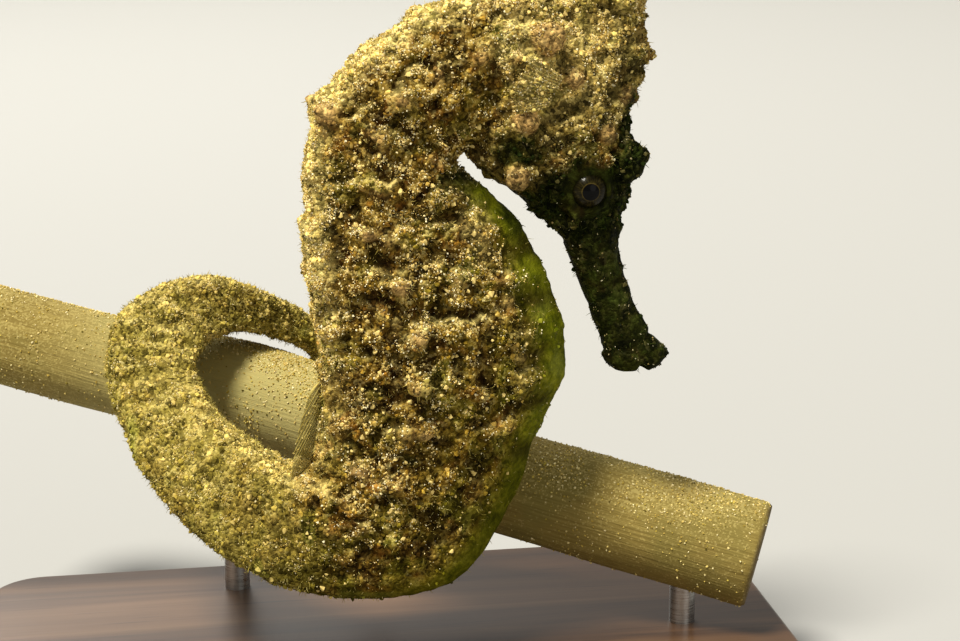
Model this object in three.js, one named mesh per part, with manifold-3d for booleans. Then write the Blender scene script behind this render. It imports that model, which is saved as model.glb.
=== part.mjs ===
// Life-size display model of a seahorse that holds a cut length of stem with its tail, on a plain
// stand. Millimetres, +Z up. The animal faces +X, and the origin is the middle of the stand's
// underside. The animal and its stem are modelled in a group of their own, in which y = 0 is the
// animal's plane of symmetry as far back as the tail root.

import * as THREE from "three";
import { mergeVertices } from "three/addons/utils/BufferGeometryUtils.js";
import Module from "manifold-3d";

const wasm = await Module();
wasm.setup();

// ---------------------------------------------------------------- driving dimensions

const gap = 0.3; // clearance between neighbouring pieces
const animalSide = -7; // where the animal's plane stands across the base

const base = { long: 92, wide: 54, high: 6, corner: 7, bevel: 0.8 };
const rod = { radius: 1.5, socket: 3, sides: 20, along: [-25, 31] }; // along: places on the stem
const stem = {
  point: [6, 17, 23.7], // where the stem passes behind the belly
  yaw: 22, // degrees that its right end swings forward
  slope: 13, // degrees that its right end drops
  from: -57.5, // its two cut ends, measured along it from the point
  to: 40,
  radius: 6.1,
  growth: 0.006, // how much thicker it gets for each millimetre to the right
  bow: { rise: 1.7, at: -22, reach: 14 }, // where it bends up inside the loop of the tail
  sides: 24,
  steps: 12,
};

const eye = { x: 20.3, y: 2.5, z: 60.0, radius: 2.35 };
// The raised rim round each eye, a cone across the head: where it starts and how far past the
// middle of the eye it ends, and how much wider than the eye it is at each end.
const eyeRim = { start: 0.8, past: 1.25, thick: 1.35, thin: 0.41 };
const coronet = {
  foot: [22.9, 0, 72.5],
  top: [24.2, 0, 83.4],
  long: 4.2,
  wide: 3.1,
  points: 5,
  pointHeight: 1.6,
  pointReach: 0.12, // how far the points lean outwards, as a share of its size
  // Its outline from the head upwards: height as a share, size, share of the points' height.
  profile: [
    [-0.35, 0.95, 0],
    [0, 1.0, 0],
    [0.14, 1.05, 0],
    [0.55, 0.8, 0],
    [0.82, 0.86, 0.125],
    [1, 1.06, 1],
    [0.98, 0.74, 0.35],
  ],
  cut: [24.1, 0, 74.2], // a point of the cut that parts it from the head
  lean: 35, // degrees above the horizontal at which that cut faces
  space: [30, 20, 20], // long, wide and high enough to take in all of it beyond the cut
};
const knobs = [
  // blunt tubercles that come in pairs: middle, radius
  { at: [12.2, 4.3, 61.5], radius: 1.3 }, // below the cheek
  { at: [13.2, 4.9, 68.0], radius: 1.2 }, // behind the gill cover
  { at: [15.6, 4.5, 76.8], radius: 1.8 }, // on the nape
  { at: [24.8, 1.7, 69.9], radius: 1.1 }, // in front of the coronet
];
const brow = { at: [24.9, 2.2, 62.6], radii: [2.4, 1.8, 2.7] }; // the bump in front of each eye
const browSpine = { from: [25.0, 2.4, 62.9], to: [27.2, 2.8, 63.8], thick: 1.6, thin: 0.6 };
const noseSpine = { from: [23.0, 0, 55.4], to: [25.2, 0, 57.0], thick: 1.6, thin: 0.6 };
const crestSpine = { from: [24.6, 0, 73.0], to: [28.1, 0, 74.2], thick: 1.5, thin: 0.45 };
const gillCover = { at: [15.9, 3.3, 66.4], long: 5.2, thick: 1.9, high: 3.9, turn: 30 };
const beyondHead = [40, 30, 60]; // long, wide and high enough to take back all behind the head

const fins = {
  // clear is how far the root stands off the skin, sweep how far the edge lies back
  dorsal: { fromRing: 9.0, toRing: 11.45, height: 2.2, thick: 0.6, steps: 10, clear: 0.5, sweep: 0.35 },
  anal: { fromRing: 9.95, toRing: 10.45, height: 0.8, thick: 0.5, steps: 4, clear: 0.35, sweep: 0.35 },
  pectoral: {
    root: [[16.6, 5.75, 73.0], [15.0, 5.8, 69.6]],
    reach: 4.5,
    turn: 162, // degrees from forward, over the top, to its middle ray
    spread: 55,
    lean: 14,
    thick: 0.5,
    steps: 8,
  },
  edge: 0.84, // thickness of every fin's edge as a share of its root's
};

// Half width of a section at eight depths, from back to belly, as a share of its widest.
const depths = [0, 0.05, 0.2, 0.36, 0.58, 0.8, 0.93, 1];
const shapes = {
  tube: [0.14, 0.44, 0.8, 0.96, 0.99, 0.8, 0.51, 0.14],
  head: [0.26, 0.48, 0.8, 0.96, 1.0, 0.84, 0.5, 0.16],
  trunk: [0.4, 0.56, 0.82, 1.0, 0.92, 0.7, 0.34, 0.09],
  tail: [0.66, 0.84, 0.95, 0.98, 0.98, 0.93, 0.8, 0.62],
};
// How far each of those eight points stands out at a ring, and how far it sinks between rings.
const crest = [0.12, 0.45, 0.12, 0.75, 0.12, 0.55, 0.05, 0.1];
const groove = [0.12, 0.2, 0.28, 0.25, 0.25, 0.2, 0.08, 0.05];
const rings = {
  fullSize: 6,
  shoulderRing: 4,
  shoulderPoint: 1,
  shoulderHeight: 1.1,
  shoulderReach: 0.55,
};

// Stations from the lips to where the tail starts to coil. back and belly are points of the back
// and belly lines in side view, [x, z]; half is the half width, y the place across, ring the
// number of body rings behind the gill.
const stations = [
  { at: "mouth", back: [28.9, 38.8], belly: [24.3, 38.5], half: 1.6, shape: "tube", ring: -9 },
  { at: "lips", back: [30.2, 40.5], belly: [23.0, 40.0], half: 2.2, shape: "tube", ring: -8 },
  { at: "snout end", back: [28.2, 42.8], belly: [22.7, 42.4], half: 2.0, shape: "tube", ring: -7 },
  { at: "snout", back: [25.9, 47.5], belly: [20.5, 48.0], half: 1.9, shape: "tube", ring: -6 },
  { at: "snout base", back: [24.3, 53.5], belly: [17.9, 54.2], half: 2.6, shape: "tube", ring: -5 },
  { at: "eye", back: [25.9, 59.3], belly: [14.0, 57.9], half: 3.7, shape: "head", ring: -4 },
  { at: "cheek", back: [25.7, 65.9], belly: [9.7, 60.4], half: 4.9, shape: "head", ring: -3 },
  { at: "brow", back: [24.8, 73.6], belly: [8.6, 61.7], half: 4.9, shape: "head", ring: -2 },
  { at: "crown", back: [20.3, 79.6], belly: [8.1, 62.4], half: 4.9, shape: "head", ring: -1 },
  { at: "nape", back: [15.0, 81.4], belly: [7.7, 62.9], half: 5.2, shape: "trunk", ring: 0 },
  { at: "neck top", back: [8.5, 81.6], belly: [7.1, 63.3], half: 5.3, shape: "trunk", ring: 1.1 },
  { at: "neck", back: [-0.5, 77.9], belly: [6.8, 63.0], half: 5.6, shape: "trunk", ring: 2.4 },
  { at: "shoulder", back: [-8.8, 69.5], belly: [7.0, 62.1], half: 6.2, shape: "trunk", ring: 4 },
  { at: "chest", back: [-10.4, 58.8], belly: [11.7, 58.2], half: 7.0, shape: "trunk", ring: 5.5 },
  { at: "ribs", back: [-10.4, 51.6], belly: [15.7, 51.3], half: 7.6, shape: "trunk", ring: 6.9 },
  { at: "belly", back: [-9.5, 45.7], belly: [18.15, 44.4], half: 8.0, shape: "trunk", ring: 8 },
  { at: "keel", back: [-9.0, 40.0], belly: [18.2, 38.2], half: 7.9, shape: "trunk", ring: 9.1 },
  { at: "vent", back: [-9.3, 34.0], belly: [15.3, 32.1], half: 7.3, shape: "trunk", ring: 10.2 },
  { at: "loin", back: [-10.2, 29.6], belly: [12.8, 24.6], half: 6.8, shape: "trunk", ring: 11.1 },
  { at: "pouch", back: [-11.1, 28.6], belly: [5.6, 16.3], half: 6.2, shape: "tail", ring: 12 },
  { at: "root", back: [-11.6, 28.7], belly: [-6.8, 14.6], half: 5.6, shape: "tail", ring: 13.6, y: 0.5 },
  { at: "bend 1", back: [-12.7, 28.9], belly: [-17.0, 17.6], half: 5.2, shape: "tail", ring: 15.6, y: 2 },
  { at: "bend 2", back: [-16.6, 31.0], belly: [-24.1, 22.2], half: 5.0, shape: "tail", ring: 18.2, y: 6.5 },
  { at: "bend 3", back: [-19.7, 33.3], belly: [-28.8, 28.2], half: 4.7, shape: "tail", ring: 20.8, y: 12.5 },
  { at: "bend 4", back: [-21.1, 36.0], belly: [-31.4, 35.7], half: 4.5, shape: "tail", ring: 23.4, y: 17.5 },
  { at: "bend 5", back: [-19.6, 38.2], belly: [-29.2, 42.6], half: 4.4, shape: "tail", ring: 25.8, y: 20.5 },
  { at: "bend 6", back: [-15.9, 38.4], belly: [-20.5, 45.4], half: 3.7, shape: "tail", ring: 28.6, y: 24 },
  { at: "bend 7", back: [-11.7, 37.0], belly: [-12.8, 42.7], half: 3.0, shape: "tail", ring: 31.4, y: 26.5 },
  { at: "bend 8", back: [-6.4, 34.0], belly: [-6.8, 38.9], half: 2.5, shape: "tail", ring: 34.2, y: 29 },
];
// The coil that follows, as it goes round the stem: turn 0 is its front, 90 its top.
const coil = {
  rows: 7,
  turn: [125, 285], // degrees at its start and tip
  along: [-18.7, -2.5], // place along the stem
  middle: [11.1, 8.1, 7.1], // distance of its middle from the stem's axis: start, halfway, tip
  half: [2.5, 1.6, 0.55], // half its thickness: start, halfway, tip
  rings: 14,
};
// The stations that the hollow for the pouch spans, how far inside them the pouch itself ends, its
// share of the depth, and the gap above it as a share of the depth.
const pouch = { from: 17.05, to: 20.65, inside: 0.22, share: 0.43, gapShare: 0.025 };
const nearestCut = 0.08; // sections of a length are at least this much of a station from its ends

// The lengths that the body is divided into, by station number.
const lengths = [
  ["snout", 0, 4.15],
  ["head", 4.15, 9.3],
  ["neck", 9.3, 12],
  ["chest", 12, 14.4],
  ["belly", 14.4, 17],
  ["tail_root", 17, 20.7],
  ["tail_1", 20.7, 22.4],
  ["tail_2", 22.4, 23.9],
  ["tail_3", 23.9, 25.3],
  ["tail_4", 25.3, 26.6],
  ["tail_5", 26.6, 28],
  ["tail_6", 28, 30.6],
  ["tail_7", 30.6, 33],
  ["tail_8", 33, 35],
];

// ---------------------------------------------------------------- materials

const materials = {
  flesh: new THREE.MeshStandardMaterial({ color: 0x7a5f35, roughness: 0.85 }),
  fin: new THREE.MeshStandardMaterial({ color: 0xa39a5c, roughness: 0.6 }),
  eye: new THREE.MeshStandardMaterial({ color: 0x1c1a14, roughness: 0.15 }),
  stem: new THREE.MeshStandardMaterial({ color: 0x86734d, roughness: 0.8 }),
  base: new THREE.MeshStandardMaterial({ color: 0x4a3020, roughness: 0.45 }),
  rod: new THREE.MeshStandardMaterial({ color: 0xb0a27c, roughness: 0.3, metalness: 1 }),
};

// ---------------------------------------------------------------- small tools

const vec = (a) => new THREE.Vector3(...a);
const degrees = (a) => (a * Math.PI) / 180;
const mix = (a, b, u) => a + (b - a) * u;
// A value that goes through three given ones at u = 0, 0.5 and 1.
const through = ([a, b, c], u) => a * (1 - u) * (1 - 2 * u) + 4 * b * u * (1 - u) + c * u * (2 * u - 1);

// A row of numbers, read off a smooth curve through rows of numbers.
function spline(rows, t) {
  const last = rows.length - 1;
  const i = Math.min(Math.max(Math.floor(t), 0), last - 1);
  const u = t - i;
  const row = (k) => rows[Math.min(Math.max(k, 0), last)];
  return rows[i].map((b, c) => {
    const [a, d, e] = [row(i - 1)[c], row(i + 1)[c], row(i + 2)[c]];
    return b + 0.5 * u * (d - a + u * (2 * a - 5 * b + 4 * d - e + u * (3 * (b - d) + e - a)));
  });
}

function solidOf(geometry) {
  const plain = geometry.index ? geometry.toNonIndexed() : geometry.clone();
  plain.deleteAttribute("normal");
  plain.deleteAttribute("uv");
  const merged = mergeVertices(plain, 1e-4);
  return new wasm.Manifold(
    new wasm.Mesh({
      numProp: 3,
      vertProperties: merged.attributes.position.array,
      triVerts: new Uint32Array(merged.index.array),
    }),
  );
}

function geometryOf(solid) {
  const mesh = solid.getMesh();
  const position = new Float32Array(mesh.numVert * 3);
  for (let i = 0; i < mesh.numVert; i++)
    position.set(mesh.vertProperties.subarray(i * mesh.numProp, i * mesh.numProp + 3), i * 3);
  const geometry = new THREE.BufferGeometry();
  geometry.setAttribute("position", new THREE.BufferAttribute(position, 3));
  geometry.setIndex(new THREE.BufferAttribute(mesh.triVerts, 1));
  return geometry;
}

// A closed body through loops of points, all with the same number of points.
function loft(loops) {
  const size = loops[0].length;
  const points = loops.flat();
  const faces = [];
  for (let i = 0; i + 1 < loops.length; i++)
    for (let j = 0; j < size; j++) {
      const [a, b] = [i * size + j, i * size + ((j + 1) % size)];
      faces.push([a, b, a + size], [b, b + size, a + size]);
    }
  for (const [end, start] of [[0, 0], [1, (loops.length - 1) * size]]) {
    const middle = points.length;
    const loop = loops[end ? loops.length - 1 : 0];
    points.push(loop.reduce((sum, p) => sum.add(p), new THREE.Vector3()).divideScalar(size));
    for (let j = 0; j < size; j++) {
      const [a, b] = [start + j, start + ((j + 1) % size)];
      faces.push(end ? [a, b, middle] : [b, a, middle]);
    }
  }
  const volume = faces.reduce(
    (sum, [a, b, c]) => sum + points[a].dot(points[b].clone().cross(points[c])),
    0,
  );
  if (volume < 0) faces.forEach((f) => f.reverse());
  const geometry = new THREE.BufferGeometry();
  geometry.setAttribute("position", new THREE.Float32BufferAttribute(points.flatMap((p) => p.toArray()), 3));
  geometry.setIndex(faces.flat());
  return geometry;
}

const mirrored = (solid) => solid.mirror([0, 1, 0]);

// ---------------------------------------------------------------- the stem's own directions

const stemAlong = vec([
  Math.cos(degrees(stem.slope)) * Math.cos(degrees(stem.yaw)),
  -Math.cos(degrees(stem.slope)) * Math.sin(degrees(stem.yaw)),
  -Math.sin(degrees(stem.slope)),
]);
const stemFront = vec([-Math.sin(degrees(stem.yaw)), -Math.cos(degrees(stem.yaw)), 0]);
const stemUp = stemFront.clone().cross(stemAlong);
const bowAt = (along) => stem.bow.rise * Math.exp(-(((along - stem.bow.at) / stem.bow.reach) ** 2));
const onStem = (along, out = 0, turn = 0) =>
  vec(stem.point)
    .addScaledVector(stemAlong, along)
    .addScaledVector(stemFront, out * Math.cos(degrees(turn)))
    .addScaledVector(stemUp, out * Math.sin(degrees(turn)) + bowAt(along));

// ---------------------------------------------------------------- the body as one curve of sections

// A station as one row of numbers: back, belly, half width, ring, then the shape's eight shares.
const row = (back, belly, half, ring, shape) => [...back, ...belly, half, ring, ...shapes[shape]];

function bodyRows() {
  const rows = stations.map(({ back, belly, half, ring, shape, y = 0 }) =>
    row([back[0], y, back[1]], [belly[0], y, belly[1]], half, ring, shape),
  );
  const lastRing = stations.at(-1).ring;
  for (let k = 1; k <= coil.rows; k++) {
    const u = k / coil.rows;
    const turn = mix(...coil.turn, u);
    const along = mix(...coil.along, u);
    const [middle, half] = [through(coil.middle, u), through(coil.half, u)];
    const inner = onStem(along, middle - half, turn).toArray();
    const outer = onStem(along, middle + half, turn).toArray();
    rows.push(row(inner, outer, half, lastRing + coil.rings * u, "tail"));
  }
  return rows;
}
const body = bodyRows();
const nape = stations.findIndex((station) => station.at === "nape");

const ringAt = (t) => spline(body, t)[7];
// The station number of a ring.
function stationOf(ring) {
  let [low, high] = [0, body.length - 1];
  for (let i = 0; i < 40; i++) {
    const middle = (low + high) / 2;
    if (ringAt(middle) < ring) low = middle;
    else high = middle;
  }
  return low;
}

function frameAt(t) {
  const values = spline(body, t);
  const [back, belly] = [vec(values.slice(0, 3)), vec(values.slice(3, 6))];
  const middle = (s) => {
    const v = spline(body, Math.min(Math.max(s, 0), body.length - 1));
    return vec(v.slice(0, 3)).add(vec(v.slice(3, 6)));
  };
  const forward = middle(t + 0.05).sub(middle(t - 0.05)).normalize();
  const side = forward.clone().cross(back.clone().sub(belly)).normalize();
  const normal = back.clone().sub(belly).cross(side).normalize();
  return { back, belly, side, normal, half: values[6], ring: values[7], shares: values.slice(8) };
}

// Half width at any depth of a section.
function shareAt(shares, depth) {
  const i = Math.min(depths.findLastIndex((d) => d <= depth), depths.length - 2);
  return mix(shares[i], shares[i + 1], (depth - depths[i]) / (depths[i + 1] - depths[i]));
}

// How far a point of a section stands out from the plain body. Rings are full size where the half
// width is fullSize or more, and start behind the head; one ring has a high lump at each shoulder.
function reliefOf(ring, point, half) {
  const { fullSize, shoulderRing, shoulderPoint, shoulderHeight, shoulderReach } = rings;
  if (ring < 0) return 0;
  const onRing = 0.5 + 0.5 * Math.cos(2 * Math.PI * ring);
  const size = Math.min(half / fullSize, 1);
  const near = Math.exp(-(((ring - shoulderRing) / shoulderReach) ** 2));
  const shoulder = point === shoulderPoint ? shoulderHeight * near : 0;
  return size * (crest[point] + shoulder) * onRing - size * groove[point] * (1 - onRing);
}

// The loop of points round a section between two depths, moved along the body by slide.
function loopAt(t, from = 0, to = 1, slide = 0) {
  const frame = frameAt(t);
  const down = frame.belly.clone().sub(frame.back);
  const centre = frame.back.clone().addScaledVector(down, 0.5);
  const whole = from === 0 && to === 1;
  const pointsOf = (sign) =>
    depths.map((d, j) => {
      const depth = mix(from, to, d);
      const half = frame.half * shareAt(frame.shares, depth) * sign;
      const point = frame.back.clone().addScaledVector(down, depth).addScaledVector(frame.side, half);
      const out = point.clone().sub(centre).normalize();
      if (whole) point.addScaledVector(out, reliefOf(frame.ring, j, frame.half));
      return point.addScaledVector(frame.normal, slide);
    });
  return [...pointsOf(1), ...pointsOf(-1).reverse()];
}

// Station numbers at which a length is cut into sections: its ends, thirds of each station on the
// head, and each ring and groove behind it.
function cuts(from, to) {
  const inside = [];
  for (let third = 1; third < 3 * nape; third++) inside.push(third / 3);
  for (let ring = 0; ring < ringAt(to); ring += 0.5) inside.push(stationOf(ring));
  return [from, ...inside.filter((t) => t > from + nearestCut && t < to - nearestCut), to];
}

function bodyLength(from, to, depthsAt = () => [0, 1]) {
  const at = cuts(from, to);
  const last = at.length - 1;
  return loft(
    at.map((t, i) => {
      const slide = i === 0 ? gap / 2 : i === last ? -gap / 2 : 0;
      return loopAt(t, ...depthsAt(t), slide * (from === 0 && i === 0 ? 0 : 1));
    }),
  );
}

// ---------------------------------------------------------------- head

function ball(at, radii, turn = 0, fineness = 1) {
  const [x, y, z] = Array.isArray(radii) ? radii : [radii, radii, radii];
  return solidOf(
    new THREE.IcosahedronGeometry(1, fineness)
      .scale(x, y, z)
      .rotateY(degrees(turn))
      .translate(...at),
  );
}

function spike({ from, to, thick, thin }) {
  const along = vec(to).sub(vec(from));
  const geometry = new THREE.CylinderGeometry(thin, thick, along.length(), 10)
    .translate(0, along.length() / 2, 0)
    .applyQuaternion(new THREE.Quaternion().setFromUnitVectors(vec([0, 1, 0]), along.clone().normalize()))
    .translate(...from);
  return solidOf(geometry);
}

function crown() {
  const { foot, top, long, wide, points, pointHeight, pointReach, profile } = coronet;
  const axis = vec(top).sub(vec(foot));
  const sides = points * 4;
  const loopOf = ([u, size, rise]) =>
    Array.from({ length: sides }, (_, j) => {
      const angle = (2 * Math.PI * j) / sides;
      const lobe = 0.5 + 0.5 * Math.cos(points * angle);
      const reach = size * (1 + pointReach * u * lobe);
      return vec(foot)
        .addScaledVector(axis, u)
        .add(vec([reach * long * Math.cos(angle), reach * wide * Math.sin(angle), 0]))
        .add(vec([0, 0, rise * pointHeight * lobe]));
    });
  return solidOf(loft(profile.map(loopOf)));
}

const eyeball = (side, more = 0) =>
  ball([eye.x, side * eye.y, eye.z], Array(3).fill(eye.radius + more), 0, 2);

// The head whole, with its sockets, before the coronet is parted from it.
function wholeHead() {
  let head = solidOf(bodyLength(lengths[1][1], lengths[1][2]));
  const rim = spike({
    from: [eye.x, eyeRim.start, eye.z],
    to: [eye.x, eye.y + eyeRim.past, eye.z],
    thick: eye.radius + eyeRim.thick,
    thin: eye.radius + eyeRim.thin,
  });
  const cover = ball(gillCover.at, [gillCover.long, gillCover.thick, gillCover.high], gillCover.turn);
  const brows = ball(brow.at, brow.radii).add(spike(browSpine));
  const paired = [rim, cover, brows, ...knobs.map((k) => ball(k.at, k.radius))];
  for (const piece of paired) head = head.add(piece).add(mirrored(piece));
  head = head.add(spike(noseSpine)).add(spike(crestSpine)).add(crown());
  for (const side of [1, -1]) head = head.subtract(eyeball(side, gap));
  // Whatever reached past the cut behind the head is taken back.
  const { back, belly, normal } = frameAt(lengths[1][2]);
  const beyond = new THREE.BoxGeometry(...beyondHead)
    .translate(beyondHead[0] / 2 - gap / 2, 0, 0)
    .applyQuaternion(new THREE.Quaternion().setFromUnitVectors(vec([1, 0, 0]), normal))
    .translate(...back.clone().lerp(belly, 0.5).toArray());
  return head.subtract(solidOf(beyond));
}

// The space beyond the cut that parts the coronet from the head.
function crownSpace(clearance) {
  const [long, wide, high] = coronet.space;
  return solidOf(
    new THREE.BoxGeometry(long, wide, high)
      .translate(0, 0, high / 2 + clearance)
      .rotateY(degrees(90 - coronet.lean))
      .translate(...coronet.cut),
  );
}

// ---------------------------------------------------------------- fins

// A plate from a root line to an edge line, thick at its root and thin at its edge.
function plate(roots, edges, across, thick) {
  return loft(
    roots.map((root, i) => {
      const edge = edges[i];
      return [
        root.clone().addScaledVector(across, thick / 2),
        edge.clone().addScaledVector(across, (thick / 2) * fins.edge),
        edge.clone().addScaledVector(across, (-thick / 2) * fins.edge),
        root.clone().addScaledVector(across, -thick / 2),
      ];
    }),
  );
}

// A fin that stands on the back or belly line, swept back along the body.
function midlineFin({ fromRing, toRing, height, thick, steps, clear, sweep }, line) {
  const roots = [];
  const edges = [];
  for (let i = 0; i <= steps; i++) {
    const u = i / steps;
    const { back, belly, normal } = frameAt(stationOf(mix(fromRing, toRing, u)));
    const out = back.clone().sub(belly).normalize().multiplyScalar(line === "back" ? 1 : -1);
    const root = (line === "back" ? back : belly).clone().addScaledVector(out, clear);
    const rise = height * (0.12 + 0.88 * Math.sin(Math.PI * u ** 0.8) ** 0.7);
    roots.push(root);
    edges.push(root.clone().addScaledVector(out, rise).addScaledVector(normal, rise * sweep));
  }
  return plate(roots, edges, vec([0, 1, 0]), thick);
}

// A fan that stands off the side of the neck, behind the gill cover.
function pectoralFin(side) {
  const { root, reach, turn: middle, spread, lean, thick, steps } = fins.pectoral;
  const [high, low] = root.map(vec);
  const across = vec([-Math.sin(degrees(lean)), -Math.cos(degrees(lean)), 0]);
  const roots = [];
  const edges = [];
  for (let i = 0; i <= steps; i++) {
    const u = i / steps;
    const turn = degrees(middle + spread * (u - 0.5));
    const away = vec([Math.cos(turn) * Math.cos(degrees(lean)), Math.sin(degrees(lean)), Math.sin(turn)]);
    const point = high.clone().lerp(low, u);
    roots.push(point);
    edges.push(point.clone().addScaledVector(away, reach * (0.82 + 0.18 * Math.sin(Math.PI * u))));
  }
  const geometry = plate(roots, edges, across, thick);
  return side > 0 ? geometry : geometryOf(mirrored(solidOf(geometry)));
}

// ---------------------------------------------------------------- stem and stand

function stemSolid() {
  const loops = [];
  for (let i = 0; i <= stem.steps; i++) {
    const along = mix(stem.from, stem.to, i / stem.steps);
    const radius = stem.radius + stem.growth * along;
    loops.push(Array.from({ length: stem.sides }, (_, j) => onStem(along, radius, (360 * j) / stem.sides)));
  }
  return solidOf(loft(loops));
}

// A rod's foot in the base and its head in the stem, in the stem's group.
function rodEnds(along) {
  const foot = onStem(along);
  const head = foot.z - stem.radius / Math.cos(degrees(stem.slope)) + rod.socket;
  return { x: foot.x, y: foot.y, low: base.high - rod.socket, high: head };
}

function rodSolid(along, radius, extra) {
  const { x, y, low, high } = rodEnds(along);
  const tall = high - low + 2 * extra;
  return solidOf(
    new THREE.CylinderGeometry(radius, radius, tall, rod.sides)
      .rotateX(Math.PI / 2)
      .translate(x, y, (low + high) / 2),
  );
}

function baseSolid() {
  const { long, wide, high, corner, bevel } = base;
  const shape = new THREE.Shape();
  const [x, y, r] = [long / 2 - bevel, wide / 2 - bevel, corner - bevel];
  shape.moveTo(-x + r, -y);
  shape.lineTo(x - r, -y);
  shape.absarc(x - r, -y + r, r, -Math.PI / 2, 0);
  shape.absarc(x - r, y - r, r, 0, Math.PI / 2);
  shape.absarc(-x + r, y - r, r, Math.PI / 2, Math.PI);
  shape.absarc(-x + r, -y + r, r, Math.PI, 1.5 * Math.PI);
  return solidOf(
    new THREE.ExtrudeGeometry(shape, {
      depth: high - 2 * bevel,
      bevelThickness: bevel,
      bevelSize: bevel,
      bevelSegments: 2,
      curveSegments: 6,
    }).translate(0, 0, bevel),
  );
}

// ---------------------------------------------------------------- assembly

const model = new THREE.Group();
const animal = new THREE.Group();
animal.position.set(0, animalSide, 0);
model.add(animal);

function add(group, name, geometry, material) {
  const mesh = new THREE.Mesh(geometry, materials[material]);
  mesh.name = name;
  group.add(mesh);
}

const head = wholeHead();
const pouchDepth = (t) => {
  const u = Math.min(Math.max((t - pouch.from) / (pouch.to - pouch.from), 0), 1);
  return 1 - pouch.share * Math.sin(Math.PI * u) ** 0.9;
};
for (const [name, from, to] of lengths) {
  if (name === "head") add(animal, name, geometryOf(head.subtract(crownSpace(-gap))), "flesh");
  else if (name === "tail_root")
    add(animal, name, bodyLength(from, to, (t) => [0, pouchDepth(t)]), "flesh");
  else add(animal, name, bodyLength(from, to), "flesh");
}
add(animal, "coronet", geometryOf(head.intersect(crownSpace(0))), "flesh");
add(
  animal,
  "brood_pouch",
  bodyLength(pouch.from + pouch.inside, pouch.to - pouch.inside, (t) => [pouchDepth(t) + pouch.gapShare, 1]),
  "flesh",
);

for (const [name, side] of [["left", 1], ["right", -1]]) {
  add(animal, `eye_${name}`, geometryOf(eyeball(side)), "eye");
  add(animal, `pectoral_fin_${name}`, pectoralFin(side), "fin");
}
add(animal, "dorsal_fin", midlineFin(fins.dorsal, "back"), "fin");
add(animal, "anal_fin", midlineFin(fins.anal, "belly"), "fin");

const rods = ["left", "right"].map((name, i) => [name, rod.along[i]]);
let stemWithSockets = stemSolid();
let baseWithSockets = baseSolid();
for (const [name, along] of rods) {
  stemWithSockets = stemWithSockets.subtract(rodSolid(along, rod.radius + gap, gap));
  baseWithSockets = baseWithSockets.subtract(
    rodSolid(along, rod.radius + gap, gap).translate([0, animalSide, 0]),
  );
  add(animal, `stand_rod_${name}`, geometryOf(rodSolid(along, rod.radius, 0)), "rod");
}
add(animal, "perch_stem", geometryOf(stemWithSockets), "stem");
add(model, "stand_base", geometryOf(baseWithSockets), "base");

export default model;
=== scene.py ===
"""A seahorse crusted with sand, its tail round a cut length of stem, on a small display stand.

Shapes are worked out in millimetres in the animal's own frame, whose plane y = 0 is its plane of
symmetry, and are put in place and scaled to metres when a mesh is made.
"""

import math

import bmesh
import bpy
import numpy as np
from mathutils import Matrix, Vector, kdtree, noise


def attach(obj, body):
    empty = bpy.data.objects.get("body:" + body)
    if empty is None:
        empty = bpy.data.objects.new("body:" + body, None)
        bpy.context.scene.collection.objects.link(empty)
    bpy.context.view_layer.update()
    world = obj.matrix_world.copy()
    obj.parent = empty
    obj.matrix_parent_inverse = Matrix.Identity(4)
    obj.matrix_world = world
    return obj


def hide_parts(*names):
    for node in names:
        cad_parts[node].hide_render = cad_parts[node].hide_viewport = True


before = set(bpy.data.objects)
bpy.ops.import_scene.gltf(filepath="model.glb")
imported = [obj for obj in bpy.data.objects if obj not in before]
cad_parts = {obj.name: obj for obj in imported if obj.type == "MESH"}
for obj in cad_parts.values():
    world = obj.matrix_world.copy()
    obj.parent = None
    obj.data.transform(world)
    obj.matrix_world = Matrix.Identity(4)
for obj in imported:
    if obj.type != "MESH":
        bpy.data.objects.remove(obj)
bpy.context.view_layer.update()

MM = 0.001
ANIMAL_SIDE = -7.0  # where the animal's plane stands across the base
COAT = 0.2  # how deep the skin lies inside the solids
VOXEL = 0.34  # the skin's mesh size
SECTION_STEP = 0.38  # between sections of the plain body, along its back or belly

# ---------------------------------------------------------------- the body's sizes

DEPTHS = np.array([0, 0.05, 0.2, 0.36, 0.58, 0.8, 0.93, 1])
SHAPES = {
    "tube": [0.14, 0.44, 0.8, 0.96, 0.99, 0.8, 0.51, 0.14],
    "head": [0.26, 0.48, 0.8, 0.96, 1.0, 0.84, 0.5, 0.16],
    "trunk": [0.4, 0.56, 0.82, 1.0, 0.92, 0.7, 0.34, 0.09],
    "tail": [0.66, 0.84, 0.95, 0.98, 0.98, 0.93, 0.8, 0.62],
}
CREST = [0.12, 0.45, 0.12, 0.75, 0.12, 0.55, 0.05, 0.1]
GROOVE = [0.12, 0.2, 0.28, 0.25, 0.25, 0.2, 0.08, 0.05]

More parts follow.
